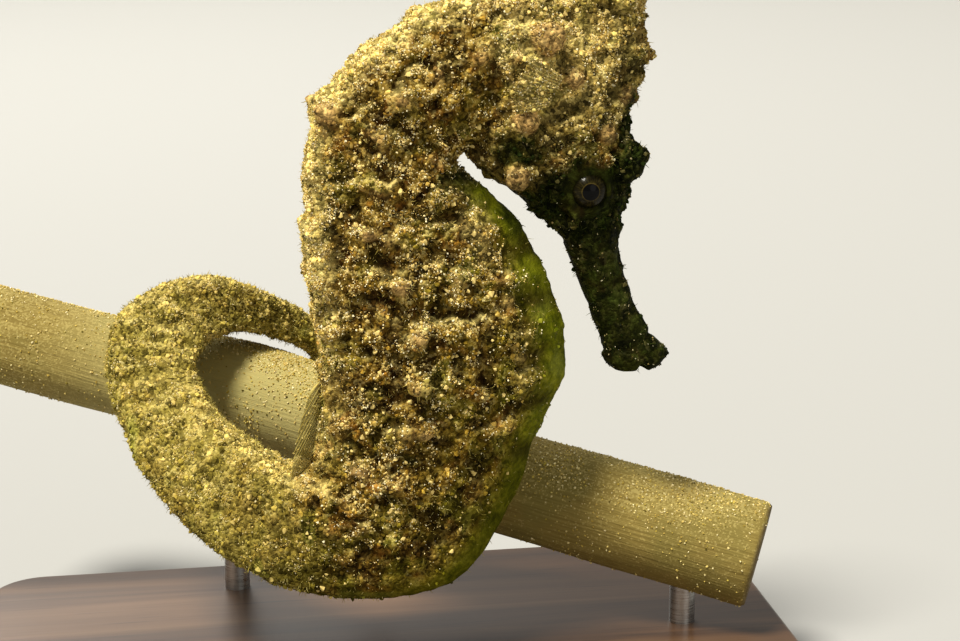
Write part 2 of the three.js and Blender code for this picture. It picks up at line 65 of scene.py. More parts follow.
# back x, back z, belly x, belly z, half width, section, ring, place across
STATIONS = [
    (28.9, 38.8, 24.3, 38.5, 1.6, "tube", -9, 0),
    (30.2, 40.5, 23.0, 40.0, 2.2, "tube", -8, 0),
    (28.2, 42.8, 22.7, 42.4, 2.0, "tube", -7, 0),
    (25.9, 47.5, 20.5, 48.0, 1.9, "tube", -6, 0),
    (24.3, 53.5, 17.9, 54.2, 2.6, "tube", -5, 0),
    (25.9, 59.3, 14.0, 57.9, 3.7, "head", -4, 0),
    (25.7, 65.9, 9.7, 60.4, 4.9, "head", -3, 0),
    (24.8, 73.6, 8.6, 61.7, 4.9, "head", -2, 0),
    (20.3, 79.6, 8.1, 62.4, 4.9, "head", -1, 0),
    (15.0, 81.4, 7.7, 62.9, 5.2, "trunk", 0, 0),
    (8.5, 81.6, 7.1, 63.3, 5.3, "trunk", 1.1, 0),
    (-0.5, 77.9, 6.8, 63.0, 5.6, "trunk", 2.4, 0),
    (-8.8, 69.5, 7.0, 62.1, 6.2, "trunk", 4, 0),
    (-10.4, 58.8, 11.7, 58.2, 7.0, "trunk", 5.5, 0),
    (-10.4, 51.6, 15.7, 51.3, 7.6, "trunk", 6.9, 0),
    (-9.5, 45.7, 18.15, 44.4, 8.0, "trunk", 8, 0),
    (-9.0, 40.0, 18.2, 38.2, 7.9, "trunk", 9.1, 0),
    (-9.3, 34.0, 15.3, 32.1, 7.3, "trunk", 10.2, 0),
    (-10.2, 29.6, 12.8, 24.6, 6.8, "trunk", 11.1, 0),
    (-11.1, 28.6, 5.6, 16.3, 6.2, "tail", 12, 0),
    (-11.6, 28.7, -6.8, 14.6, 5.6, "tail", 13.6, 0.5),
    (-12.7, 28.9, -17.0, 17.6, 5.2, "tail", 15.6, 2),
    (-16.6, 31.0, -24.1, 22.2, 5.0, "tail", 18.2, 6.5),
    (-19.7, 33.3, -28.8, 28.2, 4.7, "tail", 20.8, 12.5),
    (-21.1, 36.0, -31.4, 35.7, 4.5, "tail", 23.4, 17.5),
    (-19.6, 38.2, -29.2, 42.6, 4.4, "tail", 25.8, 20.5),
    (-15.9, 38.4, -20.5, 45.4, 3.7, "tail", 28.6, 24),
    (-11.7, 37.0, -12.8, 42.7, 3.0, "tail", 31.4, 26.5),
    (-6.4, 34.0, -6.8, 38.9, 2.5, "tail", 34.2, 29),
]
COIL = {
    "rows": 7,
    "turn": (125, 285),
    "along": (-18.7, -2.5),
    "middle": (11.1, 8.1, 7.1),
    "half": (2.5, 1.6, 0.55),
    "rings": 14,
}
STEM = {
    "point": np.array([6, 17, 23.7]),
    "yaw": 22,
    "slope": 13,
    "from": -57.5,
    "to": 40,
    "radius": 6.1,
    "growth": 0.006,
    "bow": (1.7, -22, 14),  # how high it bends up inside the tail's loop, where, and its reach
}
EYE = {"x": 20.3, "y": 2.5, "z": 60.0, "radius": 2.33, "rim": 0.75}
CORONET = {
    "foot": np.array([22.9, 0, 72.5]),
    "top": np.array([24.2, 0, 83.4]),
    "long": 4.1,
    "wide": 3.0,
    "points": 5,
    "point_height": 1.6,
}
# middle, radius
KNOBS = [
    ((12.2, 4.3, 61.5), 1.25),
    ((13.2, 4.9, 68.0), 1.15),
    ((15.6, 4.5, 76.8), 1.75),
    ((24.8, 1.7, 69.9), 1.0),
    ((18.6, 4.6, 72.4), 0.9),
    ((22.4, 3.6, 66.2), 0.75),
]
# smooth tan swellings on the flanks: place along x and z, radius
SWELLINGS = [
    (-0.7, 51.0, 1.2),
    (5.6, 51.3, 1.0),
    (11.2, 48.3, 1.2),
    (1.1, 45.5, 1.3),
    (12.5, 41.9, 1.1),
    (1.5, 39.8, 1.2),
    (2.0, 34.2, 1.1),
    (-5.2, 30.0, 1.4),
    (-4.0, 56.5, 1.0),
]
# x, z, radii and strength of the places where the crust is thickest and palest
CRUSTED = [
    ((13.2, 75.6), (4.4, 4.6), 1.0),
    ((20.0, 77.0), (2.6, 3.0), 0.35),
    ((8.2, 56.3), (2.3, 3.1), 0.9),
]
# middle, radii and strength of the places in deep shade beside the throat
DUSKY = [
    ((12.3, 3.5, 64.6), (4.2, 4.5, 2.6), 0.95),
    ((7.6, 5.0, 61.6), (4.6, 6.0, 2.2), 0.8),
    ((12.6, 0.0, 57.4), (2.4, 5.0, 3.6), 0.85),
]
THROAT = np.array([10.8, 0, 59.6])  # where the chin all but touches the chest
RODS_ALONG = (-25, 31)
BASE = {"long": 92, "wide": 54, "high": 6, "corner": 7, "bevel": 0.8}


def through(values, u):
    """A value that goes through three given ones at u = 0, 0.5 and 1."""
    a, b, c = values
    return a * (1 - u) * (1 - 2 * u) + 4 * b * u * (1 - u) + c * u * (2 * u - 1)


def unit(vectors):
    return vectors / np.linalg.norm(vectors, axis=-1, keepdims=True)


def smooth_step(low, high, value):
    u = np.clip((value - low) / (high - low), 0, 1)
    return u * u * (3 - 2 * u)


# ---------------------------------------------------------------- the stem's own directions

yaw, slope = math.radians(STEM["yaw"]), math.radians(STEM["slope"])
STEM_ALONG = np.array(
    [math.cos(slope) * math.cos(yaw), -math.cos(slope) * math.sin(yaw), -math.sin(slope)]
)
STEM_FRONT = np.array([-math.sin(yaw), -math.cos(yaw), 0])
STEM_UP = np.cross(STEM_FRONT, STEM_ALONG)


def on_stem(along, out=0.0, turn=0.0):
    rise, middle, reach = STEM["bow"]
    up = out * math.sin(math.radians(turn)) + rise * math.exp(-(((along - middle) / reach) ** 2))
    front = out * math.cos(math.radians(turn))
    return STEM["point"] + STEM_ALONG * along + STEM_FRONT * front + STEM_UP * up


# ---------------------------------------------------------------- the body as a run of sections


def body_rows():
    rows = [
        [bx, y, bz, vx, y, vz, half, ring, *SHAPES[shape]]
        for bx, bz, vx, vz, half, shape, ring, y in STATIONS
    ]
    for k in range(1, COIL["rows"] + 1):
        u = k / COIL["rows"]
        turn = np.interp(u, (0, 1), COIL["turn"])
        along = np.interp(u, (0, 1), COIL["along"])
        middle, half = through(COIL["middle"], u), through(COIL["half"], u)
        inner, outer = on_stem(along, middle - half, turn), on_stem(along, middle + half, turn)
        ring = STATIONS[-1][6] + COIL["rings"] * u
        rows.append([*inner, *outer, half, ring, *SHAPES["tail"]])
    return np.array(rows, float)


BODY = body_rows()


def spline(t):
    """Rows of numbers at station numbers t, on a smooth curve through the body's rows."""
    t = np.clip(np.asarray(t, float), 0, len(BODY) - 1)
    i = np.minimum(t.astype(int), len(BODY) - 2)
    u = (t - i)[:, None]
    a, b, d, e = (BODY[np.clip(i + k, 0, len(BODY) - 1)] for k in (-1, 0, 1, 2))
    return b + 0.5 * u * (d - a + u * (2 * a - 5 * b + 4 * d - e + u * (3 * (b - d) + e - a)))


def body_frame(t):
    rows = spline(t)
    back, belly = rows[:, :3], rows[:, 3:6]

    def middle(s):
        return spline(s)[:, :6].reshape(-1, 2, 3).mean(1)

    forward = unit(middle(t + 0.05) - middle(t - 0.05))
    side = unit(np.cross(forward, back - belly))
    return back, belly, side, rows[:, 6], rows[:, 7], rows[:, 8:]


def station_of(ring):
    stations = np.linspace(0, len(BODY) - 1.01, 3500)
    return np.interp(ring, spline(stations)[:, 7], stations)


# How many steps there are between neighbouring corners of a section, all the way round.
HALF_STEPS = [5, 11, 11, 15, 15, 11, 7]
STEPS = HALF_STEPS + [16] + HALF_STEPS[::-1] + [16]
CORNER_AT = np.concatenate([k + np.arange(n) / n for k, n in enumerate(STEPS)])


def even_stations(step):
    """Station numbers such that neither the back nor the belly moves more than a step."""
    fine = np.linspace(0, len(BODY) - 1, 12000)
    rows = spline(fine)
    moved = np.maximum(
        np.linalg.norm(np.diff(rows[:, :3], axis=0), axis=1),
        np.linalg.norm(np.diff(rows[:, 3:6], axis=0), axis=1),
    )
    run = np.concatenate([[0], np.cumsum(moved)])
    count = int(run[-1] / step)
    return np.interp(np.linspace(0, run[-1], count), run, fine)


def body_points(t):
    """Points of the body, rows of sections by points round each, and what is known of each."""
    back, belly, side, half, ring, shares = body_frame(t)
    down = belly - back
    centre = (back + belly) / 2
    depth = np.concatenate([DEPTHS, DEPTHS[::-1]])
    across = np.concatenate([shares, -shares[:, ::-1]], axis=1) * half[:, None]
    corners = (
        back[:, None]
        + down[:, None] * depth[None, :, None]
        + side[:, None] * across[:, :, None]
    )
    k = CORNER_AT.astype(int)
    f = (CORNER_AT - k)[None, :, None]
    points = corners[:, k] * (1 - f) + corners[:, (k + 1) % 16] * f
    weights = {-2: 1, -1: 2, 0: 3, 1: 2, 2: 1}
    points = sum(np.roll(points, s, axis=1) * w for s, w in weights.items()) / sum(weights.values())
    out = unit(points - centre[:, None])

    phase = 1 - 2 * np.abs(ring - np.round(ring))
    ringed = smooth_step(-0.45, 0.3, ring) * np.minimum(half / 6, 1)
    ringed = ringed * (1 - 0.35 * smooth_step(14, 19, ring))
    on_ring = (phase**1.4 * ringed)[:, None]
    on_lump = (phase**2.2 * ringed)[:, None]
    off_ring = ((1 - phase) * ringed)[:, None]
    corner = np.abs(np.where(CORNER_AT <= 7.5, CORNER_AT, 15 - CORNER_AT))
    low = smooth_step(4.0, 5.4, corner)[None, :]
    plain = (smooth_step(10.2, 11, ring) * (1 - smooth_step(14.2, 15.2, ring)))[:, None]
    still = 1 - plain * (0.35 + 0.6 * low)
    lumps = np.zeros(points.shape[:2])
    size = np.clip(half / 6.5, 0.35, 1)[:, None]
    for j in range(8):
        reach = 1.25 * size
        shoulder = 1.1 * np.exp(-((ring[:, None] - 4) ** 2) / 0.25) if j == 1 else 0
        for c in (j, 15 - j):
            away = np.linalg.norm(points - corners[:, c][:, None], axis=2)
            lumps += (CREST[j] - 0.1 + shoulder) * np.exp(-((away / reach) ** 2))
    grooves = np.interp(corner, range(8), GROOVE)[None, :]
    relief = (1.35 * lumps * on_lump + 0.2 * on_ring - 2.2 * grooves * off_ring) * still
    from_throat = np.linalg.norm((points - THROAT) * [1, 0.6, 1], axis=2)
    hollowed = 0.6 * np.exp(-((from_throat / 2.6) ** 2))
    keel = smooth_step(4.7, 6.1, corner)[None, :] * (
        smooth_step(3.6, 5, ring) * (1 - smooth_step(12.5, 14, ring))
    )[:, None]
    bare = np.maximum(1.3 * keel, 1.9 * (1 - smooth_step(-4.6, -3.8, ring))[:, None])
    points = points + out * (relief - COAT * (1 - bare) - hollowed)[:, :, None]
    pouch = smooth_step(3.9, 4.8, corner)[None, :] * (
        smooth_step(10.0, 11.2, ring) * (1 - smooth_step(13.8, 15.2, ring))
    )[:, None]
    known = {
        "ring": np.broadcast_to(ring[:, None], lumps.shape),
        "corner": np.broadcast_to(corner[None, :], lumps.shape),
        "lump": np.clip(lumps * on_lump * still * 1.6, 0, 1),
        # hollow: the grooves between rings, later painted in shade
        "hollow": np.clip(off_ring * still, 0, 1) * np.ones_like(lumps),
        "keel": keel,
        "pouch": pouch,
        "along": np.broadcast_to(np.linspace(0, 1, len(t))[:, None], lumps.shape),
        "around": np.broadcast_to(np.linspace(0, 1, len(CORNER_AT))[None, :], lumps.shape),
    }
    return points, known


# ---------------------------------------------------------------- mesh tools


def tube_faces(rows, around):
    i, j = np.meshgrid(np.arange(rows - 1), np.arange(around), indexing="ij")
    a, b = i * around + j, i * around + (j + 1) % around
    return np.stack([a, b, b + around, a + around], axis=-1).reshape(-1, 4).tolist()


def closed_tube(loops):
    """Points and faces of a closed body through loops of points."""
    rows, around = loops.shape[:2]
    points = np.concatenate([loops.reshape(-1, 3), loops[:1].mean(1), loops[-1:].mean(1)])
    start, end = rows * around, rows * around + 1
    last = (rows - 1) * around
    faces = tube_faces(rows, around)
    faces += [[(j + 1) % around, j, start] for j in range(around)]
    faces += [[last + j, last + (j + 1) % around, end] for j in range(around)]
    return points, faces


def in_scene(obj):
    bpy.context.scene.collection.objects.link(obj)
    return obj


def make_object(name, points, faces, material=None, turn_outwards=True):
    """A mesh in place: points in millimetres in the animal's frame become metres."""
    mesh = bpy.data.meshes.new(name)
    placed = (np.asarray(points, float) + [0, ANIMAL_SIDE, 0]) * MM
    mesh.from_pydata(placed.tolist(), [], [list(f) for f in faces])
    if turn_outwards:
        outwards(mesh)
    obj = in_scene(bpy.data.objects.new(name, mesh))
    if material:
        mesh.materials.append(material)
    return obj


def outwards(mesh):
    work = bmesh.new()
    work.from_mesh(mesh)
    bmesh.ops.recalc_face_normals(work, faces=work.faces)
    work.to_mesh(mesh)
    work.free()


def shade_smooth(obj, smooth=True):
    obj.data.polygons.foreach_set("use_smooth", [smooth] * len(obj.data.polygons))


def applied(obj, name):
    """A plain mesh object of what obj's modifiers make. obj itself is taken away."""
    graph = bpy.context.evaluated_depsgraph_get()
    mesh = bpy.data.meshes.new_from_object(obj.evaluated_get(graph))
    made = in_scene(bpy.data.objects.new(name, mesh))
    bpy.data.objects.remove(obj)
    mesh.name = name
    return made


def positions(mesh):
    co = np.empty(len(mesh.vertices) * 3)
    mesh.vertices.foreach_get("co", co)
    return co.reshape(-1, 3)


def vertex_normals(mesh):
    directions = np.empty(len(mesh.vertices) * 3)
    mesh.vertex_normals.foreach_get("vector", directions)
    return directions.reshape(-1, 3)


def move_vertices(mesh, co):
    mesh.vertices.foreach_set("co", np.ascontiguousarray(co).ravel())
    mesh.update()


def stored(mesh, name):
    values = np.empty(len(mesh.vertices))
    mesh.attributes[name].data.foreach_get("value", values)
    return values


def nearest_to(known, wanted):
    """For each wanted point, the number of the known point nearest to it."""
    tree = kdtree.KDTree(len(known))
    for i, point in enumerate(known):
        tree.insert(point, i)
    tree.balance()
    return np.array([tree.find(p)[1] for p in wanted])


def store(mesh, name, values):
    layer = mesh.attributes.get(name) or mesh.attributes.new(name, "FLOAT", "POINT")
    layer.data.foreach_set("value", np.ascontiguousarray(values, float))


def in_animal(co):
    return co / MM - [0, ANIMAL_SIDE, 0]


def noise_at(points, size, seed=0.0):
    shift = Vector((seed, seed * 1.7, -seed))
    return np.array([noise.noise(Vector(p) / size + shift) for p in points])


def warts_at(points, size, seed=0.0):
    """Rounded bumps packed side by side: 1 at the middle of each, 0 between them."""
    shift = Vector((seed, -seed, seed * 0.6))
    nearest = np.array([noise.voronoi(Vector(p) / size + shift)[0][0] for p in points])
    return np.clip(1 - nearest / 0.62, 0, 1) ** 0.8


# ---------------------------------------------------------------- what is added to the head


def ball(at, radii, turn=0.0, rings=14, around=24):
    polar = np.linspace(0, math.pi, rings + 2)[1:-1]
    angle = np.linspace(0, 2 * math.pi, around, endpoint=False)
    loops = np.stack(
        [
            np.sin(polar)[:, None] * np.cos(angle)[None],
            np.sin(polar)[:, None] * np.sin(angle)[None],
            np.broadcast_to(np.cos(polar)[:, None], (rings, around)),
        ],
        axis=-1,
    ) * np.asarray(radii)
    c, s = math.cos(math.radians(turn)), math.sin(math.radians(turn))
    loops = loops @ np.array([[c, 0, s], [0, 1, 0], [-s, 0, c]]).T
    return closed_tube(loops + np.asarray(at))


def spike(start, end, thick, thin, around=20, bulge=0.0):
    start, end = np.asarray(start, float), np.asarray(end, float)
    axis = unit(end - start)
    one = unit(np.cross(axis, [0.3, 1, 0.2]))
    two = np.cross(axis, one)
    angle = np.linspace(0, 2 * math.pi, around, endpoint=False)
    circle = one * np.cos(angle)[:, None] + two * np.sin(angle)[:, None]
    loops = []
    for u in np.linspace(0, 1, 12):
        radius = thick + (thin - thick) * u + bulge * math.sin(math.pi * u)
        loops.append(start + (end - start) * u + circle * radius)
    for turn in np.radians([25, 50, 75]):
        loops.append(end + axis * thin * math.sin(turn) + circle * thin * math.cos(turn))
    return closed_tube(np.array(loops))


def turned(at, profile, around=48):
    """A closed body turned about a line across the animal, from (place across, radius) pairs."""
    angle = np.linspace(0, 2 * math.pi, around, endpoint=False)
    loops = [
        np.stack([r * np.cos(angle), np.full(around, y), r * np.sin(angle)], axis=-1) + at
        for y, r in profile
    ]
    return closed_tube(np.array(loops))


def crown():
    foot, axis = CORONET["foot"], CORONET["top"] - CORONET["foot"]
    angle = np.linspace(0, 2 * math.pi, 80, endpoint=False)
    lobe = (0.5 + 0.5 * np.cos(CORONET["points"] * angle)) ** 1.6
    heights = [-0.35, -0.1, 0, 0.14, 0.3, 0.55, 0.75, 0.88, 1.0]
    widths = [0.95, 0.98, 1.0, 1.05, 0.95, 0.79, 0.81, 0.9, 1.02]
    loops = []
    for u in np.linspace(-0.35, 1, 36):
        size = np.interp(u, heights, widths)
        reach = size * (1 + 0.16 * max(u, 0) * lobe)
        rise = CORONET["point_height"] * lobe * smooth_step(0.8, 1, u)
        loop = foot + axis * u + np.stack(
            [reach * CORONET["long"] * np.cos(angle), reach * CORONET["wide"] * np.sin(angle), rise],
            axis=-1,
        )
        loops.append(loop)
    top = loops[-1].mean(0)
    for share, sink in ((0.86, 0.1), (0.7, 0.9), (0.45, 1.5), (0.2, 1.7)):
        loop = top + (loops[-1] - top) * [share, share, 1]
        loop[:, 2] = loops[-1][:, 2] * (share**2) + top[2] * (1 - share**2) - sink
        loops.append(loop)
    return closed_tube(np.array(loops))


def both_sides(piece):
    points, faces = piece
    return [piece, (points * [1, -1, 1], [f[::-1] for f in faces])]


def head_parts():
    ex, ey, ez, er, rim = EYE["x"], EYE["y"], EYE["z"], EYE["radius"], EYE["rim"]
    parts = []
    turret = [(0.5, er + rim + 0.7), (1.6, er + rim + 0.5), (2.6, er + rim + 0.15)]
    turret += [(3.2, er + 0.5), (3.6, er + 0.36), (3.9, er + 0.26), (4.1, er + 0.06)]
    turret += [(4.12, er - 0.14), (3.98, er - 0.3), (3.7, er - 0.36), (3.0, er - 0.6), (2.6, 0.8)]
    parts += both_sides(turned((ex, 0, ez), turret))
    parts += both_sides(ball((15.9, 3.2, 66.4), (5.1, 1.75, 3.8), 30))
    parts += both_sides(ball((24.9, 2.2, 62.6), (2.3, 1.7, 2.6)))
    parts += both_sides(spike((25.0, 2.4, 62.7), (26.7, 2.7, 63.2), 1.8, 0.8))
    parts += both_sides(spike((21.6, 3.2, 62.4), (22.4, 3.8, 63.4), 1.2, 0.6))
    parts += both_sides(spike((19.0, 3.3, 57.6), (18.4, 4.1, 56.6), 0.9, 0.4))
    for at, radius in KNOBS:
        parts += both_sides(ball(at, [radius] * 3, rings=10, around=16))
    parts.append(spike((23.0, 0, 55.4), (25.1, 0, 56.9), 1.5, 0.55))
    parts.append(spike((24.6, 0, 73.0), (27.8, 0, 74.1), 1.4, 0.4))
    parts.append(ball((20.0, 0, 79.0), (2.4, 1.9, 1.9)))
    parts.append(crown())
    return parts


# ---------------------------------------------------------------- node tools


class Nodes:
    """A short way to build a node tree: each call adds a node and links its inputs."""

    def __init__(self, tree):
        self.tree = tree

    def add(self, kind, inputs=None, **settings):
        node = self.tree.nodes.new(kind)
        for key, value in settings.items():
            setattr(node, key, value)
        for key, value in (inputs or {}).items():
            socket = node.inputs[key]
            if isinstance(value, bpy.types.NodeSocket):
                self.tree.links.new(value, socket)
            else:
                socket.default_value = value
        return node


def new_group(name, kind, sockets):
    """A node group with named inputs and outputs: (name, in or out, socket type, value)."""
    tree = bpy.data.node_groups.new(name, kind)
    for label, way, socket_type, *value in sockets:
        socket = tree.interface.new_socket(
            label, in_out="INPUT" if way == "in" else "OUTPUT", socket_type=socket_type
        )
        if value:
            socket.default_value = value[0]
    nodes = Nodes(tree)
    return tree, nodes, nodes.add("NodeGroupInput").outputs, nodes.add("NodeGroupOutput").inputs


def ramp(nodes, factor, stops, mode="LINEAR"):
    node = nodes.add("ShaderNodeValToRGB", {"Fac": factor})
    node.color_ramp.interpolation = mode
    elements = node.color_ramp.elements
    while len(elements) < len(stops):
        elements.new(0.5)
    for element, (place, colour) in zip(elements, stops):
        element.position = place
        element.color = (*colour, 1)
    return node.outputs["Color"]


def mixed(nodes, factor, a, b, blend="MIX"):
    node = nodes.add("ShaderNodeMix", data_type="RGBA", blend_type=blend)
    for socket, value in zip((node.inputs[0], node.inputs[6], node.inputs[7]), (factor, a, b)):
        if isinstance(value, bpy.types.NodeSocket):
            nodes.tree.links.new(value, socket)
        else:
            socket.default_value = (*value, 1) if isinstance(value, tuple) else value
    return node.outputs[2]


def feed(nodes, value, shader, name):
    nodes.tree.links.new(value, shader.inputs[name])


def bump(nodes, shader, height, strength, distance):
    values = {"Height": height, "Strength": strength, "Distance": distance}
    feed(nodes, nodes.add("ShaderNodeBump", values).outputs[0], shader, "Normal")


def times(nodes, a, b):
    return math_node(nodes, "MULTIPLY", a, b)


def math_node(nodes, operation, a, b=0.0, clamp=False):
    node = nodes.add("ShaderNodeMath", {0: a, 1: b}, operation=operation, use_clamp=clamp)
    return node.outputs[0]


def attribute(nodes, name):
    return nodes.add("ShaderNodeAttribute", attribute_name=name).outputs["Fac"]


def noise_tex(nodes, vector, scale, detail=3.0, roughness=0.55, distortion=0.0):
    values = {"Scale": scale, "Detail": detail, "Roughness": roughness, "Distortion": distortion}
    node = nodes.add("ShaderNodeTexNoise", {"Vector": vector, **values})
    return node.outputs["Fac"]


def drawn_out(nodes, place, scale):
    return nodes.add("ShaderNodeMapping", {"Vector": place, "Scale": scale}).outputs[0]


def new_material(name, **shader_values):
    material = bpy.data.materials.new(name)
    material.use_nodes = True
    nodes = Nodes(material.node_tree)
    shader = material.node_tree.nodes["Principled BSDF"]
    for key, value in shader_values.items():
        shader.inputs[key.replace("_", " ")].default_value = value
    place = nodes.add("ShaderNodeTexCoord").outputs["Object"]
    return material, nodes, shader, place


def placed_at(nodes, place, middle_mm, turn=(0, 0, 0)):
    """Object coordinates in millimetres about a point of the animal's frame."""
    middle = (np.asarray(middle_mm, float) + [0, ANIMAL_SIDE, 0]) * MM
    moved = nodes.add("ShaderNodeVectorMath", {0: place, 1: tuple(middle)}, operation="SUBTRACT")
    scaled = nodes.add(
        "ShaderNodeMapping",
        {"Vector": moved.outputs[0], "Rotation": turn, "Scale": (1000, 1000, 1000)},
        vector_type="POINT",
    )
    return scaled.outputs[0]


# ---------------------------------------------------------------- shared shader groups


def grit_group():
    """Packed grains: a tone for each, and how far each stands up."""
    tree, nodes, given, out = new_group(
        "packed_grit",
        "ShaderNodeTree",
        [
            ("Place", "in", "NodeSocketVector"),
            ("Grains per Metre", "in", "NodeSocketFloat", 2600.0),
            ("Tone", "out", "NodeSocketFloat"),
            ("Height", "out", "NodeSocketFloat"),
        ],
    )
    cells = nodes.add(
        "ShaderNodeTexVoronoi",
        {"Vector": given["Place"], "Scale": given["Grains per Metre"]},
        feature="F1",
    ).outputs
    tone = nodes.add("ShaderNodeSeparateColor", {"Color": cells["Color"]}).outputs["Red"]
    height = nodes.add(
        "ShaderNodeMapRange", {"Value": cells["Distance"], "From Max": 0.6, "To Min": 1.0, "To Max": 0.0}
    ).outputs["Result"]
    nodes.tree.links.new(tone, out["Tone"])
    nodes.tree.links.new(height, out["Height"])
    return tree


GRIT = grit_group()


def grit(nodes, place, per_metre=2600.0):
    values = {"Place": place, "Grains per Metre": per_metre}
    return nodes.add("ShaderNodeGroup", values, node_tree=GRIT).outputs


def scaled(nodes, vector, factor):
    """A colour or a vector times a number."""
    return nodes.add("ShaderNodeVectorMath", {0: vector, "Scale": factor}, operation="SCALE").outputs[0]


def spread_out(nodes, value, low, high):
    """A value from 0 to 1 carried to another range."""
    return nodes.add("ShaderNodeMapRange", {"Value": value, "To Min": low, "To Max": high}).outputs[0]


# Shade and Hollow carry painted shade; Pale carries painted highlight along with the pale of the thickest
# crust.
MARKS = ("Lump", "Hollow", "Keel", "Tail", "Shade", "Alga", "Pale")


def hide_colour_group():
    """The animal's own colours with painted shade and painted highlights mixed in, from the marks stored on
    its skin and on what grows on it.
    """
    tree, nodes, given, out = new_group(
        "hide_colour",
        "ShaderNodeTree",
        [
            ("Place", "in", "NodeSocketVector"),
            *[(mark, "in", "NodeSocketFloat", 0.0) for mark in MARKS],
            ("Colour", "out", "NodeSocketColor"),
        ],
    )
    place = given["Place"]
    large = noise_tex(nodes, place, 170.0, 3, 0.6)
    middle = noise_tex(nodes, place, 620.0, 5, 0.72, 0.5)
    hue = noise_tex(nodes, place, 300.0, 3, 0.6)
    trunk = ramp(
        nodes,
        middle,
        [
            (0.34, (0.02, 0.0095, 0.001)),
            (0.46, (0.095, 0.05, 0.005)),
            (0.56, (0.3, 0.18, 0.022)),
            (0.68, (0.64, 0.47, 0.12)),
        ],
    )
    olive = ramp(nodes, middle, [(0.34, (0.018, 0.016, 0.0012)), (0.68, (0.24, 0.2, 0.018))])
    share = times(nodes, smooth(nodes, large, 0.47, 0.6), 0.7)
    trunk = mixed(nodes, share, trunk, olive)
    rust = times(nodes, smooth(nodes, hue, 0.54, 0.66), 0.5)
    trunk = mixed(nodes, rust, trunk, (0.33, 0.13, 0.018))
    tail = ramp(
        nodes,
        middle,
        [(0.32, (0.13, 0.1, 0.014)), (0.5, (0.23, 0.18, 0.03)), (0.7, (0.34, 0.28, 0.06))],
    )
    browned = times(nodes, smooth(nodes, large, 0.5, 0.62), 0.45)
    tail = mixed(nodes, browned, tail, (0.2, 0.125, 0.02))
    colour = mixed(nodes, given["Tail"], trunk, tail)
    pink = ramp(nodes, middle, [(0.35, (0.2, 0.11, 0.03)), (0.65, (0.6, 0.4, 0.15))])
    colour = mixed(nodes, times(nodes, given["Lump"], 0.8), colour, pink)
    green = ramp(nodes, middle, [(0.35, (0.06, 0.075, 0.0012)), (0.65, (0.195, 0.215, 0.006))])
    colour = mixed(nodes, times(nodes, given["Keel"], 0.9), colour, green)
    colour = mixed(nodes, times(nodes, given["Alga"], 0.7), colour, (0.24, 0.26, 0.035))
    # Hollow is painted shade: dark in the grooves between rings, in pits, in gaps between tufts and between
    # fin rays.
    dark = ramp(nodes, large, [(0.4, (0.012, 0.004, 0.001)), (0.6, (0.018, 0.01, 0.001))])
    colour = mixed(nodes, times(nodes, given["Hollow"], 0.85), colour, dark)
    # Pale is partly painted highlight on the back, upward faces and head, and partly the pale of the
    # thickest crust.
    pale = ramp(nodes, middle, [(0.36, (0.3, 0.225, 0.04)), (0.6, (0.76, 0.62, 0.22))])
    colour = mixed(nodes, given["Pale"], colour, pale)
    # Shade is painted shade, dark and greenish, over the face, the snout and beside the throat.
    painted_shade = ramp(
        nodes,
        middle,
        [(0.36, (0.0018, 0.0031, 0.0004)), (0.52, (0.0048, 0.009, 0.0008)), (0.7, (0.02, 0.037, 0.004))],
    )
    colour = mixed(nodes, times(nodes, given["Shade"], 0.96), colour, painted_shade)
    nodes.tree.links.new(colour, out["Colour"])
    return tree


def smooth(nodes, value, low, high):
    node = nodes.add(
        "ShaderNodeMapRange",
        {"Value": value, "From Min": low, "From Max": high},
        interpolation_type="SMOOTHSTEP",
    )
    return node.outputs["Result"]


HIDE_COLOUR_AND_PAINTED_LIGHT = hide_colour_group()


def hide_colour(nodes, place):
    node = nodes.add("ShaderNodeGroup", {"Place": place}, node_tree=HIDE_COLOUR_AND_PAINTED_LIGHT)
    for mark in MARKS:
        nodes.tree.links.new(attribute(nodes, mark.lower()), node.inputs[mark])
    return node.outputs["Colour"]


# ---------------------------------------------------------------- materials


def skin_material():
    material, nodes, shader, place = new_material(
        "seahorse_skin", Roughness=0.65, Specular_IOR_Level=0.03
    )
    grains = grit(nodes, place)
    fine = noise_tex(nodes, place, 5200.0, 3, 0.6)
    colour = hide_colour(nodes, place)
    gritty = attribute(nodes, "gritty")
    light = spread_out(nodes, grains["Tone"], 0.3, 1.8)
    light = mixed(nodes, gritty, (1.0, 1.0, 1.0), light)
    colour = mixed(nodes, 1.0, colour, light, "MULTIPLY")
    dust = times(nodes, attribute(nodes, "dust"), smooth(nodes, grains["Tone"], 0.7, 0.74))
    pale = ramp(nodes, fine, [(0.4, (0.36, 0.27, 0.07)), (0.6, (0.8, 0.7, 0.3))])
    colour = mixed(nodes, dust, colour, pale)
    feed(nodes, colour, shader, "Base Color")
    rough = spread_out(nodes, noise_tex(nodes, place, 900.0), 0.45, 0.85)
    feed(nodes, rough, shader, "Roughness")
    height = times(nodes, grains["Height"], gritty)
    height = math_node(nodes, "ADD", height, times(nodes, fine, 0.5))
    bump(nodes, shader, height, 0.8, 0.00022)
    return material


